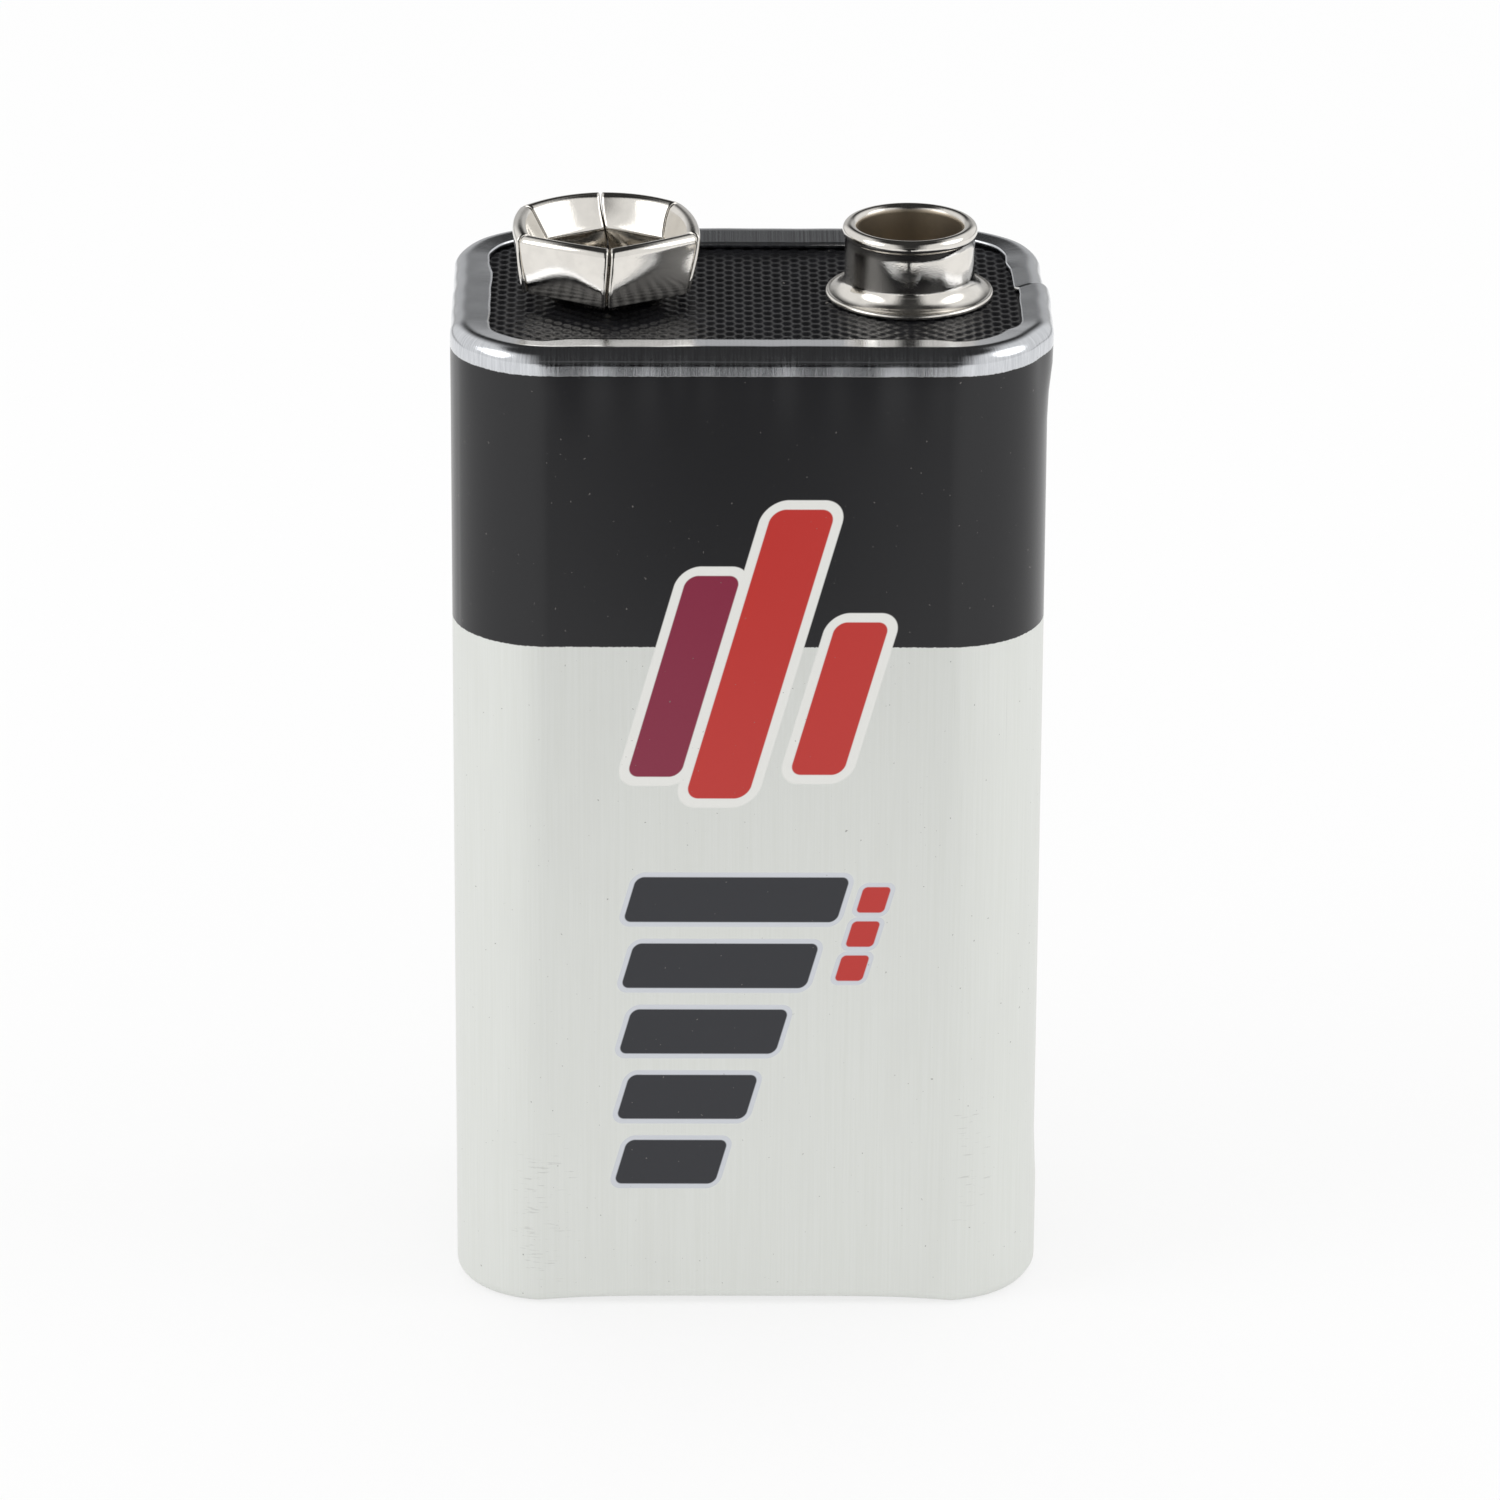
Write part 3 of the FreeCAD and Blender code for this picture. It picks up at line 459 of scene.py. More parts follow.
def thickPetal(grid, size):
    # the sheet's two faces lie half a thickness each side of the middle surface, along its
    # normal, which is the cross product of the grid's two directions. Each row of the result
    # is a loop round the sheet.
    along = np.gradient(grid, axis=0)
    acrossWay = np.gradient(grid, axis=1)
    normal = np.cross(along, acrossWay)
    normal /= np.linalg.norm(normal, axis=-1, keepdims=True)
    half, edge = size["sheet"] / 2, size["edgeRound"]
    bevel = acrossWay / np.linalg.norm(acrossWay, axis=-1, keepdims=True) * edge
    upper, lower = grid + normal * half, grid - normal * half
    outer, inner = grid + normal * (half - edge), grid - normal * (half - edge)
    loop = np.concatenate([
        upper[:, :1] + bevel[:, :1], upper[:, 1:-1], upper[:, -1:] - bevel[:, -1:],
        outer[:, -1:], inner[:, -1:],
        lower[:, -1:] - bevel[:, -1:], lower[:, 1:-1][:, ::-1], lower[:, :1] + bevel[:, :1],
        inner[:, :1], outer[:, :1]], axis=1)
    # both ends are closed by rows that shrink to the sheet's middle line
    ends = []
    for row, way in ((0, -1), (-1, 1)):
        shift = along[row].mean(axis=0)
        shift = shift * way / np.linalg.norm(shift) * size["endRound"]
        line = grid[row]
        flat = np.concatenate([line[:1], line, line[[-1, -1, -1]], line[-2:0:-1], line[[0, 0]]])
        ends.append((loop[row] + (flat - loop[row]) * size["endShare"] + shift, flat + shift))
    return np.concatenate([ends[0][1][None], ends[0][0][None], loop,
                           ends[1][0][None], ends[1][1][None]])


def buildSocket(size):
    # six petals, and the floor that joins them: a flat ring with a hole for the rivet
    blocks, faces, start = [], [], 0
    for number in range(6):
        rows = thickPetal(petalSurface(size, number), size)
        blocks.append(rows.reshape(-1, 3))
        faces.append(gridFaces(rows.shape[0], rows.shape[1], False, True, start))
        start += rows.shape[0] * rows.shape[1]
    ring = np.array(size["floorRing"]) * (1, size["sheet"]) + (0, size["foot"])
    blocks.append(turnedPoints(ring, (size["x"], size["y"]), size["floorPoints"]).reshape(-1, 3))
    faces.append(gridFaces(len(ring), size["floorPoints"], True, True, start))
    return meshObject("socketPetals", np.concatenate(blocks), np.concatenate(faces))


print("building the new pieces")
jacketSheet = buildJacket(jacket)
boardTexture = buildBoard(board)
studShell = buildStud(stud)
socketPetals = buildSocket(socket)

for piece, node, slot in ((jacketSheet, "jacket", "jacket_print"),
                          (boardTexture, "terminal_board", "board_black"),
                          (studShell, "positive_stud", "nickel_stud"),
                          (socketPetals, "negative_socket", "nickel_socket")):
    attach(piece, "root")
    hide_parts(node)


# materials: small helpers that add nodes

def emptyMaterial(name):
    # a material whose tree has no nodes yet
    material = bpy.data.materials.new(name)
    material.use_nodes = True
    material.node_tree.nodes.clear()
    return material, material.node_tree


def newMaterial(name):
    # a material with one Principled shader, which its maker feeds
    material, tree = emptyMaterial(name)
    shader = tree.nodes.new("ShaderNodeBsdfPrincipled")
    output = tree.nodes.new("ShaderNodeOutputMaterial")
    tree.links.new(shader.outputs["BSDF"], output.inputs["Surface"])
    return material, tree, shader


def put(tree, socket, value):
    # a number or colour is written on the socket, another socket is linked to it
    if isinstance(value, bpy.types.NodeSocket):
        tree.links.new(value, socket)
    else:
        socket.default_value = value


def mathStep(tree, operation, *values):
    # one operation on one or two values
    node = tree.nodes.new("ShaderNodeMath")
    node.operation = operation
    for socket, value in zip(node.inputs, values):
        put(tree, socket, value)
    return node.outputs[0]


def times(tree, first, second):
    # the product of two values
    return mathStep(tree, "MULTIPLY", first, second)


def largest(tree, first, *others):
    # the largest of several values, pair by pair
    for other in others:
        first = mathStep(tree, "MAXIMUM", first, other)
    return first


def ramp(tree, value, low, high, fromValue=0.0, toValue=1.0):
    # an S-shaped rise from fromValue at low to toValue at high, and level outside
    node = tree.nodes.new("ShaderNodeMapRange")
    node.interpolation_type = "SMOOTHSTEP"
    for key, item in (("Value", value), ("From Min", low), ("From Max", high),
                      ("To Min", fromValue), ("To Max", toValue)):
        put(tree, node.inputs[key], item)
    return node.outputs["Result"]


def blend(tree, mask, first, second):
    # the first colour where the mask is 0, the second where it is 1
    node = tree.nodes.new("ShaderNodeMix")
    node.data_type = "RGBA"
    put(tree, node.inputs["Factor"], mask)
    put(tree, node.inputs["A"], first)
    put(tree, node.inputs["B"], second)
    return node.outputs["Result"]


def blendValue(tree, mask, first, second):
    # the same for two numbers
    node = tree.nodes.new("ShaderNodeMix")
    node.data_type = "FLOAT"
    put(tree, node.inputs[0], mask)
    put(tree, node.inputs[2], first)
    put(tree, node.inputs[3], second)
    return node.outputs[0]


def scaled(tree, vector, scale):
    # the vector times a scale for each axis
    node = tree.nodes.new("ShaderNodeMapping")
    put(tree, node.inputs["Vector"], vector)
    node.inputs["Scale"].default_value = scale
    return node.outputs["Vector"]


def millimetres(tree):
    # the place on the piece, in the frame that all pieces share
    where = tree.nodes.new("ShaderNodeTexCoord")
    return scaled(tree, where.outputs["Object"], (1000, 1000, 1000))


def split(tree, vector):
    # the vector's x, y and z
    node = tree.nodes.new("ShaderNodeSeparateXYZ")
    tree.links.new(vector, node.inputs[0])
    return tuple(node.outputs)


def noise(tree, vector, scale, detail=4.0, roughness=0.55):
    # cloudy noise about 0.5, with so many waves per unit of the vector
    node = tree.nodes.new("ShaderNodeTexNoise")
    put(tree, node.inputs["Vector"], vector)
    node.inputs["Scale"].default_value = scale
    node.inputs["Detail"].default_value = detail
    node.inputs["Roughness"].default_value = roughness
    return node.outputs["Fac"]


def bump(tree, height, strength, distance):
    # a normal tilted by the height's slope, as if it stood out by the distance in metres
    node = tree.nodes.new("ShaderNodeBump")
    put(tree, node.inputs["Height"], height)
    node.inputs["Strength"].default_value = strength
    node.inputs["Distance"].default_value = distance
    return node.outputs["Normal"]


def newGroup(name, inputs, outputs):
    # a node group with named sockets, each input with its usual value
    group = bpy.data.node_groups.new(name, "ShaderNodeTree")
    for key, kind, value in inputs:
        item = group.interface.new_socket(key, in_out="INPUT", socket_type=kind)
        if value is not None:
            item.default_value = value
    for key, kind in outputs:
        group.interface.new_socket(key, in_out="OUTPUT", socket_type=kind)
    return group, group.nodes.new("NodeGroupInput"), group.nodes.new("NodeGroupOutput")


def place(tree, group, **values):
    # a copy of the group in a material, with its own values, as its one output
    node = tree.nodes.new("ShaderNodeGroup")
    node.node_tree = group
    for key, value in values.items():
        put(tree, node.inputs[key], value)
    return node.outputs[0]


# node groups that more than one material uses, and the printed bar

def printedBarGroup():
    # signed distance to a bar with rounded corners, leaning by Slant, turned into a soft mask
    group, start, end = newGroup("printedBar", [
        ("Vector", "NodeSocketVector", None),
        ("Centre X", "NodeSocketFloat", 0.0), ("Centre Z", "NodeSocketFloat", 0.0),
        ("Half Width", "NodeSocketFloat", 1.0), ("Half Height", "NodeSocketFloat", 1.0),
        ("Slant", "NodeSocketFloat", 0.0), ("Round", "NodeSocketFloat", 0.3),
        ("Grow", "NodeSocketFloat", 0.0), ("Edge", "NodeSocketFloat", 0.03)],
        [("Mask", "NodeSocketFloat")])
    spotX, _, spotZ = split(group, start.outputs["Vector"])
    z = mathStep(group, "SUBTRACT", spotZ, start.outputs["Centre Z"])
    x = mathStep(group, "SUBTRACT", spotX, start.outputs["Centre X"])
    x = mathStep(group, "SUBTRACT", x, times(group, z, start.outputs["Slant"]))
    sides = []
    for value, half in ((x, "Half Width"), (z, "Half Height")):
        inner = mathStep(group, "SUBTRACT", start.outputs[half], start.outputs["Round"])
        sides.append(mathStep(group, "SUBTRACT", mathStep(group, "ABSOLUTE", value), inner))
    outX, outZ = (mathStep(group, "MAXIMUM", side, 0.0) for side in sides)
    squares = mathStep(group, "ADD", times(group, outX, outX), times(group, outZ, outZ))
    inside = mathStep(group, "MINIMUM", largest(group, *sides), 0.0)
    distance = mathStep(group, "ADD", mathStep(group, "SQRT", squares), inside)
    distance = mathStep(group, "SUBTRACT", distance, start.outputs["Round"])
    distance = mathStep(group, "SUBTRACT", distance, start.outputs["Grow"])
    negative = times(group, start.outputs["Edge"], -1.0)
    group.links.new(ramp(group, distance, start.outputs["Edge"], negative), end.inputs["Mask"])
    return group


def brushedGrainGroup():
    # noise drawn out along the second axis, as rolled and brushed sheet shows it
    group, start, end = newGroup("brushedGrain", [
        ("Vector", "NodeSocketVector", None), ("Across", "NodeSocketFloat", 9.0),
        ("Along", "NodeSocketFloat", 0.12)], [("Value", "NodeSocketFloat")])
    joined = group.nodes.new("ShaderNodeCombineXYZ")
    group.links.new(start.outputs["Across"], joined.inputs[0])
    group.links.new(start.outputs["Along"], joined.inputs[1])
    joined.inputs[2].default_value = 1.0
    times = group.nodes.new("ShaderNodeVectorMath")
    times.operation = "MULTIPLY"
    group.links.new(start.outputs["Vector"], times.inputs[0])
    group.links.new(joined.outputs[0], times.inputs[1])
    group.links.new(noise(group, times.outputs[0], 1.0, 6.0, 0.65), end.inputs["Value"])
    return group


def specksGroup():
    # a mask of scattered small spots, where noise passes a threshold
    group, start, end = newGroup("specks", [
        ("Vector", "NodeSocketVector", None), ("Scale", "NodeSocketFloat", 4.0),
        ("Threshold", "NodeSocketFloat", 0.72), ("Soft", "NodeSocketFloat", 0.03)],
        [("Mask", "NodeSocketFloat")])
    node = group.nodes.new("ShaderNodeTexNoise")
    group.links.new(start.outputs["Vector"], node.inputs["Vector"])
    group.links.new(start.outputs["Scale"], node.inputs["Scale"])
    node.inputs["Detail"].default_value = 2.0
    high = mathStep(group, "ADD", start.outputs["Threshold"], start.outputs["Soft"])
    group.links.new(ramp(group, node.outputs["Fac"], start.outputs["Threshold"], high),
                    end.inputs["Mask"])
    return group


printedBar = printedBarGroup()
brushedGrain = brushedGrainGroup()
specks = specksGroup()

grainTones = (0.3, 0.7)      # the part of a noise's range over which two tones blend

# the jacket's steel and print

colours = {
    "silver": (0.72, 0.735, 0.70, 1), "silverLight": (0.75, 0.765, 0.735, 1),
    "silverDull": (0.70, 0.71, 0.68, 1), "hair": (0.42, 0.42, 0.40, 1),
    "scuff": (0.36, 0.36, 0.34, 1), "speck": (0.18, 0.17, 0.16, 1),
    "steel": (0.57, 0.585, 0.61, 1), "steelLight": (0.70, 0.715, 0.74, 1),
    "black": (0.008, 0.008, 0.0095, 1), "red": (0.47, 0.026, 0.02, 1),
    "maroon": (0.21, 0.014, 0.043, 1), "pale": (0.74, 0.74, 0.71, 1),
    "paleBlue": (0.58, 0.60, 0.64, 1), "ink": (0.018, 0.019, 0.024, 1),
}

label = {
    "bandTop": 43.15, "bandFoot": 30.95,
    "edgeRun": 0.09, "edgeSoft": 0.02,       # printed edges aren't quite straight or sharp
    "frontFrom": -8.0, "frontFull": -8.1,    # depths where the front's print starts
    "slant": 0.28,
    # colour, centre x, centre z, half width, half height and corner radius of each bar, and
    # the colour and width of the outline round them
    "strokes": ([("maroon", -2.9, 29.6, 1.15, 4.6, 0.5),
                 ("red", 0.35, 30.6, 1.35, 6.6, 0.6),
                 ("red", 3.75, 28.6, 1.15, 3.5, 0.5)], "pale", 0.42),
    "bars": ([("ink", -0.6 - 0.7 * row, 19.3 - 3.1 * row, 4.6 - 0.6 * row, 1.05, 0.35)
              for row in range(5)], "paleBlue", 0.22),
    "dots": ([("red", 5.3 - 0.45 * row, 19.3 - 1.6 * row, 0.6, 0.6, 0.2)
              for row in range(3)], "paleBlue", 0.2),
}

sheetLook = {
    # streaks per millimetre, across and along them
    "grain": (9.0, 0.12), "fineGrain": (34.0, 0.35), "rolledGrain": (11.0, 0.7),
    "hairGrain": (11.0, 0.05), "hairFrom": (0.66, 0.74), "hairShare": 0.3,
    "cloudScale": (0.35, 0.12, 1), "cloudFrom": (0.45, 0.8), "cloudShare": 0.4,
    # middle x, middle z, half width and half height of each rubbed place
    "rubbed": [(9.7, 6.8, 1.0, 4.0), (-9.0, 4.4, 1.6, 4.2)],
    "streakScale": (1.3, 1.0, 11.0),
    "scuffFrom": (0.735, 0.6),               # of the streaks' noise, elsewhere and there
    "scuffSoft": 0.07, "scuffShare": 0.3,
    "speckScale": 5.0, "speckFrom": 0.735, "speckSoft": 0.02, "speckShare": 0.6,
    "silverMetal": 0.6, "silverRough": 0.42, "inkRough": 0.22, "steelRough": (0.11, 0.19),
    "relief": 0.12, "reliefDepth": 0.00003, "specular": 0.45,
}


def brushed(tree, where, streaks):
    # brushed grain with so many streaks per millimetre across and along
    return place(tree, brushedGrain, Vector=where, Across=streaks[0], Along=streaks[1])


def softPatch(tree, x, z, middleX, middleZ, halfX, halfZ):
    # 1 in the middle of a rectangle, fading between 0.4 and 1.4 of its half sizes
    masks = [ramp(tree, mathStep(tree, "ABSOLUTE", mathStep(tree, "SUBTRACT", value, middle)),
                  1.4 * half, 0.4 * half)
             for value, middle, half in ((x, middleX, halfX), (z, middleZ, halfZ))]
    return times(tree, *masks)


def silverSheet(tree, unrolled, spot, look):
    # two silvers blend along the grain. Over them lie dull clouds, hair lines, and scuffs, which
    # are short streaks across the grain, many in the rubbed places and few elsewhere.
    silver = blend(tree, ramp(tree, brushed(tree, unrolled, look["grain"]), *grainTones),
                   colours["silver"], colours["silverLight"])
    cloud = noise(tree, scaled(tree, unrolled, look["cloudScale"]), 1.0, 3.0)
    hairs = brushed(tree, unrolled, look["hairGrain"])
    x, _, z = split(tree, spot)
    rubbed = largest(tree, *(softPatch(tree, x, z, *patch) for patch in look["rubbed"]))
    streaks = noise(tree, scaled(tree, spot, look["streakScale"]), 1.0, 4.0)
    limit = blendValue(tree, rubbed, *look["scuffFrom"])
    scuffs = ramp(tree, streaks, limit, mathStep(tree, "ADD", limit, look["scuffSoft"]))
    for mask, share, tone in (
            (ramp(tree, cloud, *look["cloudFrom"]), look["cloudShare"], "silverDull"),
            (ramp(tree, hairs, *look["hairFrom"]), look["hairShare"], "hair"),
            (scuffs, look["scuffShare"], "scuff")):
        silver = blend(tree, times(tree, mask, share), silver, colours[tone])
    return silver


def printShapes(tree, colour, spot, front, shapes, paper, grow):
    # the pale outline is the union of the grown shapes, and each shape's own colour lies on it.
    # Returns the new colour and the mask of all that is printed.
    outlines, inks = [], []
    for name, x, z, halfWidth, halfHeight, corner in shapes:
        values = {"Vector": spot, "Centre X": x, "Centre Z": z, "Half Width": halfWidth,
                  "Half Height": halfHeight, "Slant": label["slant"], "Round": corner}
        outlines.append(place(tree, printedBar, Grow=grow, **values))
        inks.append((name, times(tree, place(tree, printedBar, **values), front)))
    printed = times(tree, largest(tree, *outlines), front)
    colour = blend(tree, printed, colour, colours[paper])
    for name, mask in inks:
        colour = blend(tree, mask, colour, colours[name])
        printed = largest(tree, printed, mask)
    return colour, printed


def jacketMaterial(look):
    # bare rolled steel above the print, the black band, and silver with the bars below it
    material, tree, shader = newMaterial("printedSteel")
    uvMap = tree.nodes.new("ShaderNodeUVMap")
    uvMap.uv_map = "unrolled"
    unrolled = uvMap.outputs[0]
    spot = millimetres(tree)
    _, depth, height = split(tree, spot)

    # the height is moved up and down by noise before the printed edges are drawn
    run = mathStep(tree, "SUBTRACT", noise(tree, unrolled, 9.0, 3.0), 0.5)
    level = mathStep(tree, "ADD", height, times(tree, run, label["edgeRun"]))
    soft = label["edgeSoft"]
    coated = ramp(tree, level, label["bandTop"] + soft, label["bandTop"] - soft)
    overFoot = ramp(tree, level, label["bandFoot"] - soft, label["bandFoot"] + soft)
    band = times(tree, coated, overFoot)
    front = ramp(tree, depth, label["frontFrom"], label["frontFull"])

    rolled = brushed(tree, unrolled, look["rolledGrain"])
    rolledTones = ramp(tree, rolled, *grainTones)
    steel = blend(tree, rolledTones, colours["steel"], colours["steelLight"])
    colour = blend(tree, coated, steel, silverSheet(tree, unrolled, spot, look))
    colour = blend(tree, band, colour, colours["black"])
    lacquer = band
    for key in ("strokes", "bars", "dots"):
        colour, printed = printShapes(tree, colour, spot, front, *label[key])
        lacquer = largest(tree, lacquer, printed)
    dark = place(tree, specks, Vector=unrolled, Scale=look["speckScale"],
                 Threshold=look["speckFrom"], Soft=look["speckSoft"])
    colour = blend(tree, times(tree, dark, look["speckShare"]), colour, colours["speck"])

    metal = blendValue(tree, coated, 1.0, look["silverMetal"])
    rough = blendValue(tree, coated, blendValue(tree, rolledTones, *look["steelRough"]),
                       look["silverRough"])
    relief = blendValue(tree, lacquer, brushed(tree, unrolled, look["fineGrain"]), 0.5)
    relief = blendValue(tree, coated, rolled, relief)
    put(tree, shader.inputs["Base Color"], colour)
    put(tree, shader.inputs["Metallic"], blendValue(tree, lacquer, metal, 0.0))
    put(tree, shader.inputs["Roughness"], blendValue(tree, lacquer, rough, look["inkRough"]))
    put(tree, shader.inputs["Normal"], bump(tree, relief, look["relief"], look["reliefDepth"]))
    shader.inputs["Specular IOR Level"].default_value = look["specular"]
    return material


# the plated terminals

nickel = {
    "tone": (0.80, 0.77, 0.72, 1), "smearTone": (0.744, 0.7161, 0.6696, 1),
    "toneFrom": (0.35, 0.7), "roughFrom": (0.3, 0.75),   # of the smears' noise
    "rough": (0.05, 0.13),
    "cupTone": (0.42, 0.36, 0.28, 1), "cupRough": 0.42,
    "cupEdge": (0.08, 0.01),         # how far outside the cup's wall its darker, browner tone starts
    "footHeights": (44.9, 44.2), "footRough": 0.1,       # the stud gets duller towards its foot
    "relief": 0.06, "reliefDepth": 0.00004,
}


def nickelMaterial(name, look, cup=None):
    # bright plating with faint smears. A cup is darker and browner inside, where the distance
    # from its axis is less than its inner radius.
    material, tree, shader = newMaterial(name)
    spot = millimetres(tree)
    grain = noise(tree, spot, 14.0, 3.0)
    smear = noise(tree, spot, 1.3, 3.0)
    colour = blend(tree, ramp(tree, smear, *look["toneFrom"]), look["tone"], look["smearTone"])
    rough = ramp(tree, smear, *look["roughFrom"], *look["rough"])
    if cup:
        x, y, z = split(tree, spot)
        awayX = mathStep(tree, "SUBTRACT", x, cup["x"])
        awayY = mathStep(tree, "SUBTRACT", y, cup["y"])
        squares = mathStep(tree, "ADD", times(tree, awayX, awayX), times(tree, awayY, awayY))
        inside = ramp(tree, mathStep(tree, "SQRT", squares),
                      *(cup["inner"] + more for more in look["cupEdge"]))
        # the cup's inside gets a darker, browner colour and a duller roughness
        colour = blend(tree, inside, colour, look["cupTone"])
        rough = blendValue(tree, inside, rough, look["cupRough"])
        foot = ramp(tree, z, *look["footHeights"])
        rough = mathStep(tree, "ADD", rough, times(tree, foot, look["footRough"]))
    put(tree, shader.inputs["Base Color"], colour)
    shader.inputs["Metallic"].default_value = 1.0
    put(tree, shader.inputs["Roughness"], rough)
    put(tree, shader.inputs["Normal"], bump(tree, grain, look["relief"], look["reliefDepth"]))
    return material


# the board's black fibre

boardLook = {
    "dark": (0.006, 0.006, 0.007, 1), "light": (0.01, 0.01, 0.012, 1), "toneFrom": (0.35, 0.7),
    "dust": (0.4, 0.38, 0.35, 1), "dustScale": 3.2, "dustFrom": 0.76, "dustSoft": 0.015,
    "dustShare": 0.5,
    "rough": (0.26, 0.4),
    "relief": 0.2, "reliefDepth": 0.00003, "specular": 0.36,
}


def boardMaterial(look):
    # two blacks that drift into each other, a fibre's relief, and specks of dust
    material, tree, shader = newMaterial("pressedBoard")
    spot = millimetres(tree)
    fibre = noise(tree, spot, 12.0, 4.0)
    cloud = noise(tree, spot, 0.8, 2.0)
    colour = blend(tree, ramp(tree, cloud, *look["toneFrom"]), look["dark"], look["light"])
    dust = place(tree, specks, Vector=spot, Scale=look["dustScale"],
                 Threshold=look["dustFrom"], Soft=look["dustSoft"])
    colour = blend(tree, times(tree, dust, look["dustShare"]), colour, look["dust"])
    put(tree, shader.inputs["Base Color"], colour)
    put(tree, shader.inputs["Roughness"], ramp(tree, fibre, *grainTones, *look["rough"]))
    put(tree, shader.inputs["Normal"], bump(tree, fibre, look["relief"], look["reliefDepth"]))
    shader.inputs["Specular IOR Level"].default_value = look["specular"]
    return material


# the pieces inside

innerLooks = {
    # word in the nodes' names: material, its two tones, scale of their drift, metallic, the
    # least and the greatest roughness, and strength of the relief
    "rivet": ("rivetSteel", (0.42, 0.37, 0.30), (0.52, 0.47, 0.40), 1.5, 1.0, 0.28, 0.45, 0.15),
    "lead": ("nickelStrip", (0.60, 0.59, 0.56), (0.68, 0.67, 0.64), 0.8, 1.0, 0.22, 0.36, 0.1),
    "strap": ("nickelStrap", (0.58, 0.57, 0.55), (0.67, 0.66, 0.63), 0.7, 1.0, 0.24, 0.38, 0.1),
    "cell": ("cellCan", (0.55, 0.55, 0.54), (0.62, 0.62, 0.61), 0.5, 1.0, 0.25, 0.36, 0.08),
    "card": ("greyCard", (0.36, 0.33, 0.27), (0.44, 0.41, 0.34), 0.9, 0.0, 0.75, 0.9, 0.4),
    "sleeve": ("clearSleeve", (0.62, 0.64, 0.66), (0.70, 0.72, 0.73), 0.4, 0.0, 0.25, 0.36, 0.05),
    "plate": ("blackPlate", (0.016, 0.016, 0.018), (0.024, 0.024, 0.027), 0.7, 0.0, 0.42, 0.58,
              0.3),
}


def plainMaterial(name, first, second, scale, metallic, smooth, rough, strength):
    # two tones that drift into each other, and a fine relief
    material, tree, shader = newMaterial(name)
    spot = millimetres(tree)
    drift = noise(tree, spot, scale, 4.0)
    grain = noise(tree, spot, 9.0, 4.0)
    colour = blend(tree, ramp(tree, drift, *grainTones), (*first, 1), (*second, 1))
    put(tree, shader.inputs["Base Color"], colour)
    shader.inputs["Metallic"].default_value = metallic
    put(tree, shader.inputs["Roughness"], ramp(tree, grain, *grainTones, smooth, rough))
    put(tree, shader.inputs["Normal"], bump(tree, grain, strength, 0.00004))
    return material


def dress(piece, material):
    # the material takes the place of whatever the piece has
    piece.data.materials.clear()
    piece.data.materials.append(material)


print("making the materials")
dress(jacketSheet, jacketMaterial(sheetLook))
dress(studShell, nickelMaterial("nickelStud", nickel, stud))
dress(socketPetals, nickelMaterial("nickelSocket", nickel))
dress(boardTexture, boardMaterial(boardLook))
for word, look in innerLooks.items():
    material = plainMaterial(*look)
    for nodeName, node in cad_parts.items():
        if word in nodeName:
            for materialSlot in node.material_slots:
                materialSlot.material = material


# floor, backdrop light and camera

studio = {
    "floorHalf": 1.4,                     # metres, as all lengths below
    "floorColour": (0.9, 0.9, 0.9, 1),
    "floorShade": 0.30,      # share of the floor's look that comes from the light that falls on it
    "evenLevel": 0.95,                    # of the world, for matt surfaces
    "whiteUpTo": 0.24, "darkFrom": 0.41,  # sines of the heights where the backdrop ends
    "frontEdge": (0.88, 0.975),           # forward part of the direction, at the dark wedge
    "boxEdge": (0.14, 0.52),              # sideways part of the direction where a soft box starts
    "boxTop": (0.92, 0.8),                # sines of the heights where it ends
    "roomShade": 0.03,
    "backdropLevel": 0.52,
    "boxLevel": 0.88,
    # what shines sees the floor dark in a strip ahead, and farther ahead in a wedge, given by
    # the distances ahead where each starts and where each ends aside, the wedge as x over y
    "stripAhead": (0.07, 0.1), "stripAside": (0.005, 0.013),
    "wedgeAhead": (0.13, 0.18), "wedgeAside": (0.13, 0.32),
    "farBehind": (0.15, 0.4), "backShade": 0.3,   # and it sees the floor far behind this dim
    "aim": (0, 0, 0.022),                 # what the lamps point at
}


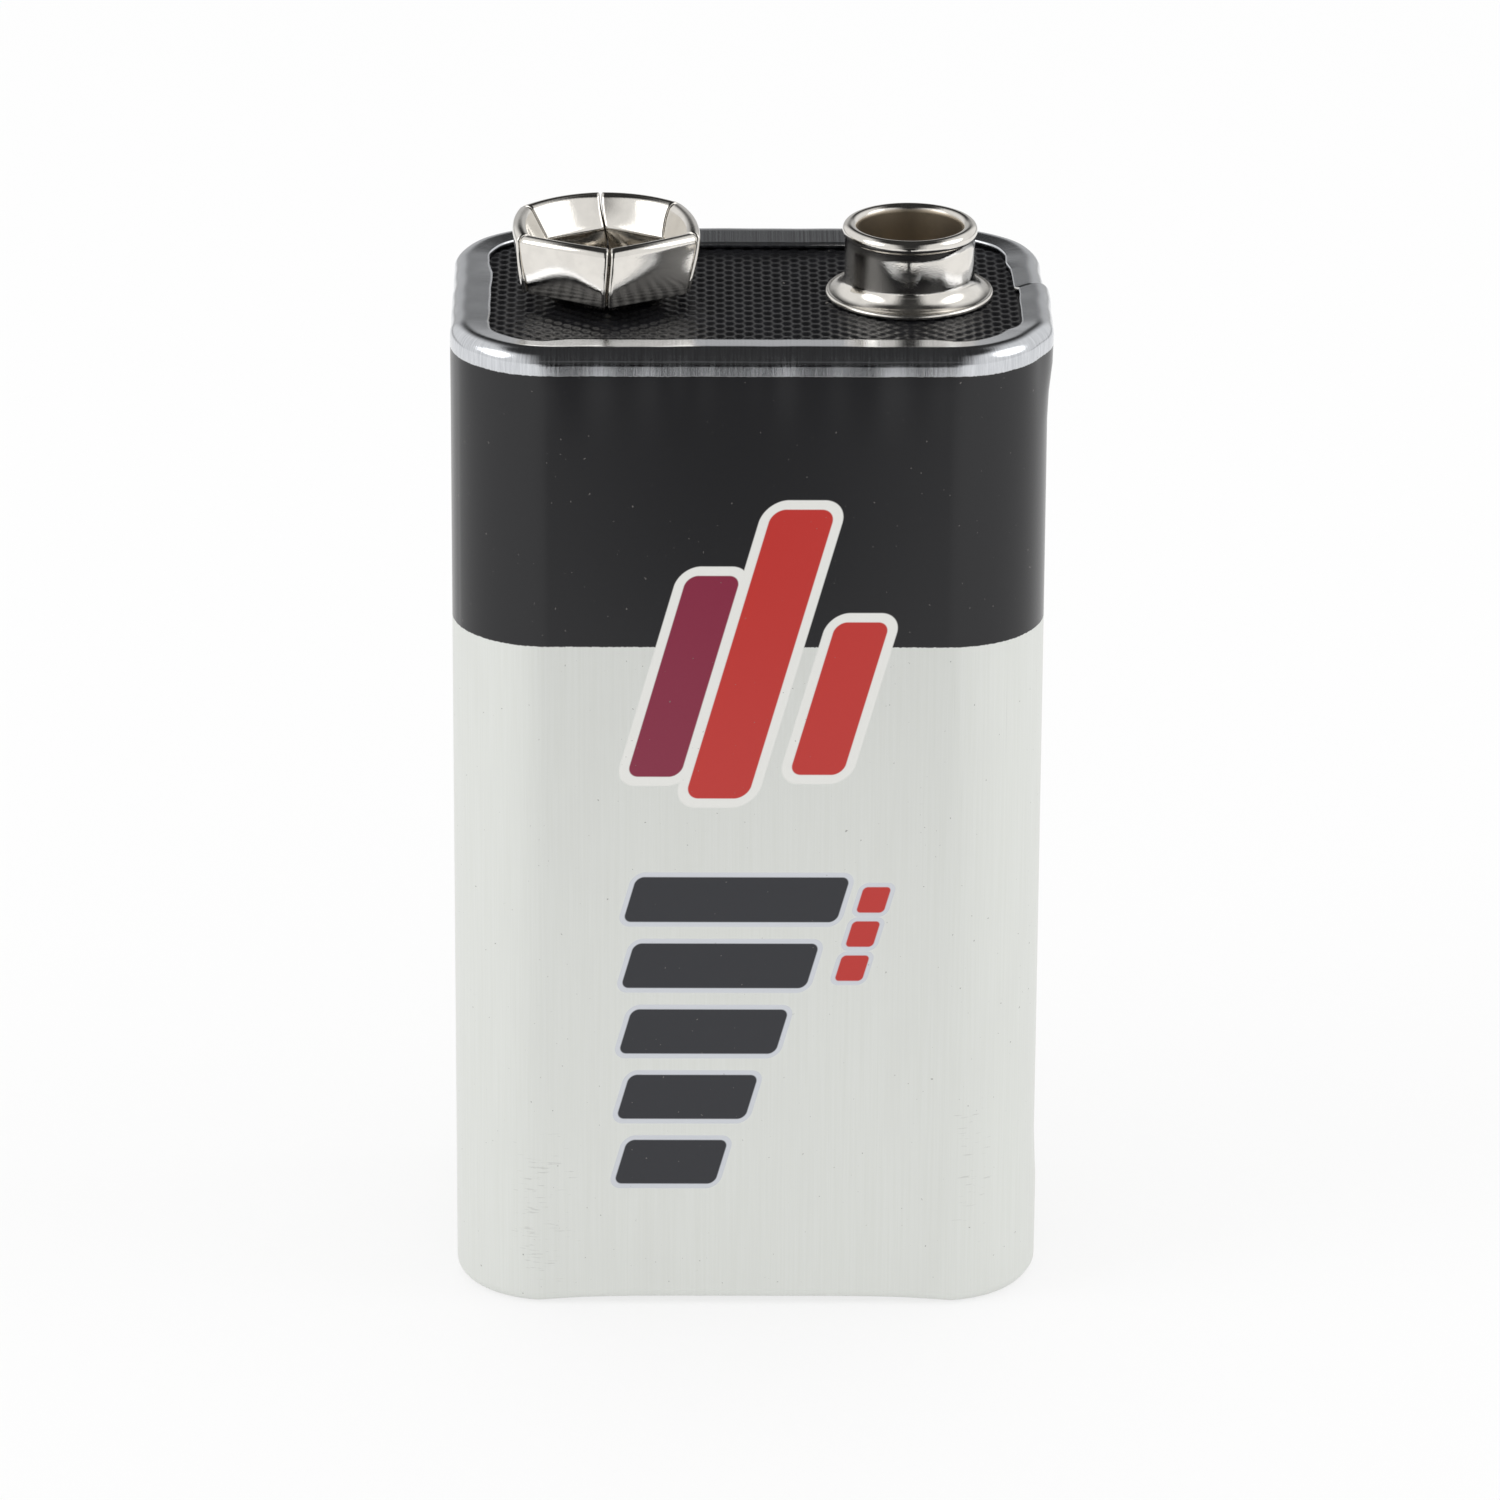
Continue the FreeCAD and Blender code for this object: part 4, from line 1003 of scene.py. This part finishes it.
def buildFloor():
    # a matt floor that the lamps light is mixed with a glow, which makes it white for the
    # camera and for what shines
    half = studio["floorHalf"]
    corners = [(-half, -half, 0), (half, -half, 0), (half, half, 0), (-half, half, 0)]
    mesh = bpy.data.meshes.new("floor")
    mesh.from_pydata(corners, [], [(0, 1, 2, 3)])
    floor = bpy.data.objects.new("floor", mesh)
    bpy.context.scene.collection.objects.link(floor)
    material, tree = emptyMaterial("whiteFloor")
    diffuse = tree.nodes.new("ShaderNodeBsdfDiffuse")
    diffuse.inputs["Color"].default_value = studio["floorColour"]
    glow = tree.nodes.new("ShaderNodeEmission")
    path = tree.nodes.new("ShaderNodeLightPath")
    where = tree.nodes.new("ShaderNodeTexCoord")
    x, y, _ = split(tree, where.outputs["Object"])
    ahead = times(tree, y, -1.0)
    strip = times(tree, ramp(tree, ahead, *studio["stripAhead"]),
                  ramp(tree, mathStep(tree, "ABSOLUTE", x), *studio["stripAside"], 1.0, 0.0))
    turned = mathStep(tree, "ABSOLUTE", mathStep(tree, "DIVIDE", x, y))
    wedge = times(tree, ramp(tree, ahead, *studio["wedgeAhead"]),
                  ramp(tree, turned, *studio["wedgeAside"], 1.0, 0.0))
    behind = ramp(tree, y, *studio["farBehind"], 0.0, 1.0 - studio["backShade"])
    hidden = times(tree, largest(tree, strip, wedge, behind), path.outputs["Is Glossy Ray"])
    put(tree, glow.inputs["Strength"], mathStep(tree, "SUBTRACT", 1.0, hidden))
    seen = largest(tree, path.outputs["Is Camera Ray"], path.outputs["Is Glossy Ray"],
                   path.outputs["Is Transmission Ray"])
    mix = tree.nodes.new("ShaderNodeMixShader")
    put(tree, mix.inputs[0], largest(tree, times(tree, seen, 1.0 - studio["floorShade"]), hidden))
    tree.links.new(diffuse.outputs[0], mix.inputs[1])
    tree.links.new(glow.outputs[0], mix.inputs[2])
    output = tree.nodes.new("ShaderNodeOutputMaterial")
    tree.links.new(mix.outputs[0], output.inputs["Surface"])
    floor.data.materials.append(material)


def grey(level):
    # an opaque grey
    return (level, level, level, 1)


def buildWorld():
    # white for the camera and an even level for matt surfaces. What shines sees a white
    # backdrop up to a low height, a dark room over it, a dark wedge where the camera stands,
    # and a tall soft box on each side.
    world = bpy.data.worlds.new("studioWorld")
    bpy.context.scene.world = world
    world.use_nodes = True
    tree = world.node_tree
    tree.nodes.clear()
    where = tree.nodes.new("ShaderNodeTexCoord")
    x, y, z = split(tree, where.outputs["Generated"])
    frontDim = ramp(tree, times(tree, y, -1.0), *studio["frontEdge"], 1.0, 0.0)
    low = ramp(tree, z, studio["whiteUpTo"], studio["darkFrom"], studio["backdropLevel"], 0.0)
    boxes = times(tree, ramp(tree, mathStep(tree, "ABSOLUTE", x), *studio["boxEdge"]),
                  ramp(tree, z, *studio["boxTop"], 0.0, studio["boxLevel"]))
    bright = largest(tree, times(tree, low, frontDim), boxes)
    glossy = blend(tree, bright, grey(studio["roomShade"]), grey(1))
    path = tree.nodes.new("ShaderNodeLightPath")
    even = blend(tree, path.outputs["Is Glossy Ray"], grey(studio["evenLevel"]), glossy)
    seen = blend(tree, path.outputs["Is Camera Ray"], even, grey(1))
    back = tree.nodes.new("ShaderNodeBackground")
    put(tree, back.inputs["Color"], seen)
    back.inputs["Strength"].default_value = 1.0
    output = tree.nodes.new("ShaderNodeOutputWorld")
    tree.links.new(back.outputs[0], output.inputs["Surface"])


lamps = {
    # place in metres, size in metres, power in watts
    "softLeft": ((-0.60, -0.20, 0.42), 0.5, 0.9),
    "softRight": ((0.60, -0.05, 0.42), 0.5, 0.7),
}


def buildLamps():
    # round soft lamps, each turned so that its own axis points at the battery
    for name, (spot, size, power) in lamps.items():
        data = bpy.data.lights.new(name, "AREA")
        data.shape = "DISK"
        data.size = size
        data.energy = power
        lamp = bpy.data.objects.new(name, data)
        bpy.context.scene.collection.objects.link(lamp)
        lamp.location = spot
        toObject = Vector(studio["aim"]) - Vector(spot)
        lamp.rotation_euler = toObject.to_track_quat("-Z", "Y").to_euler()


view = {
    "azimuth": -0.5376, "elevation": 21.986, "roll": 0.3059,   # degrees
    "distance": 0.381905,
    "target": (0.0000254, 0.0, 0.022838),
    "lens": 209.457, "sensor": 36.0,   # millimetres
    "clipStart": 0.01,
}


def buildCamera():
    # stands at the azimuth and elevation from the target, and is rolled about its own axis
    azimuth, elevation, roll = (np.radians(view[key]) for key in ("azimuth", "elevation", "roll"))
    back = np.array([np.sin(azimuth) * np.cos(elevation), -np.cos(azimuth) * np.cos(elevation),
                     np.sin(elevation)])
    right = np.cross(-back, [0, 0, 1.0])
    right /= np.linalg.norm(right)
    up = np.cross(right, -back)
    rolledRight = right * np.cos(roll) + up * np.sin(roll)
    rolledUp = -right * np.sin(roll) + up * np.cos(roll)
    stand = np.array(view["target"]) + back * view["distance"]
    data = bpy.data.cameras.new("camera")
    data.sensor_width = view["sensor"]
    data.lens = view["lens"]
    data.clip_start = view["clipStart"]
    camera = bpy.data.objects.new("camera", data)
    bpy.context.scene.collection.objects.link(camera)
    columns = np.stack([rolledRight, rolledUp, back, stand], axis=1)
    camera.matrix_world = Matrix([*columns.tolist(), [0, 0, 0, 1]])
    bpy.context.scene.camera = camera


print("setting the stage")
buildFloor()
buildWorld()
buildLamps()
buildCamera()
bpy.context.scene.view_settings.view_transform = "Standard"
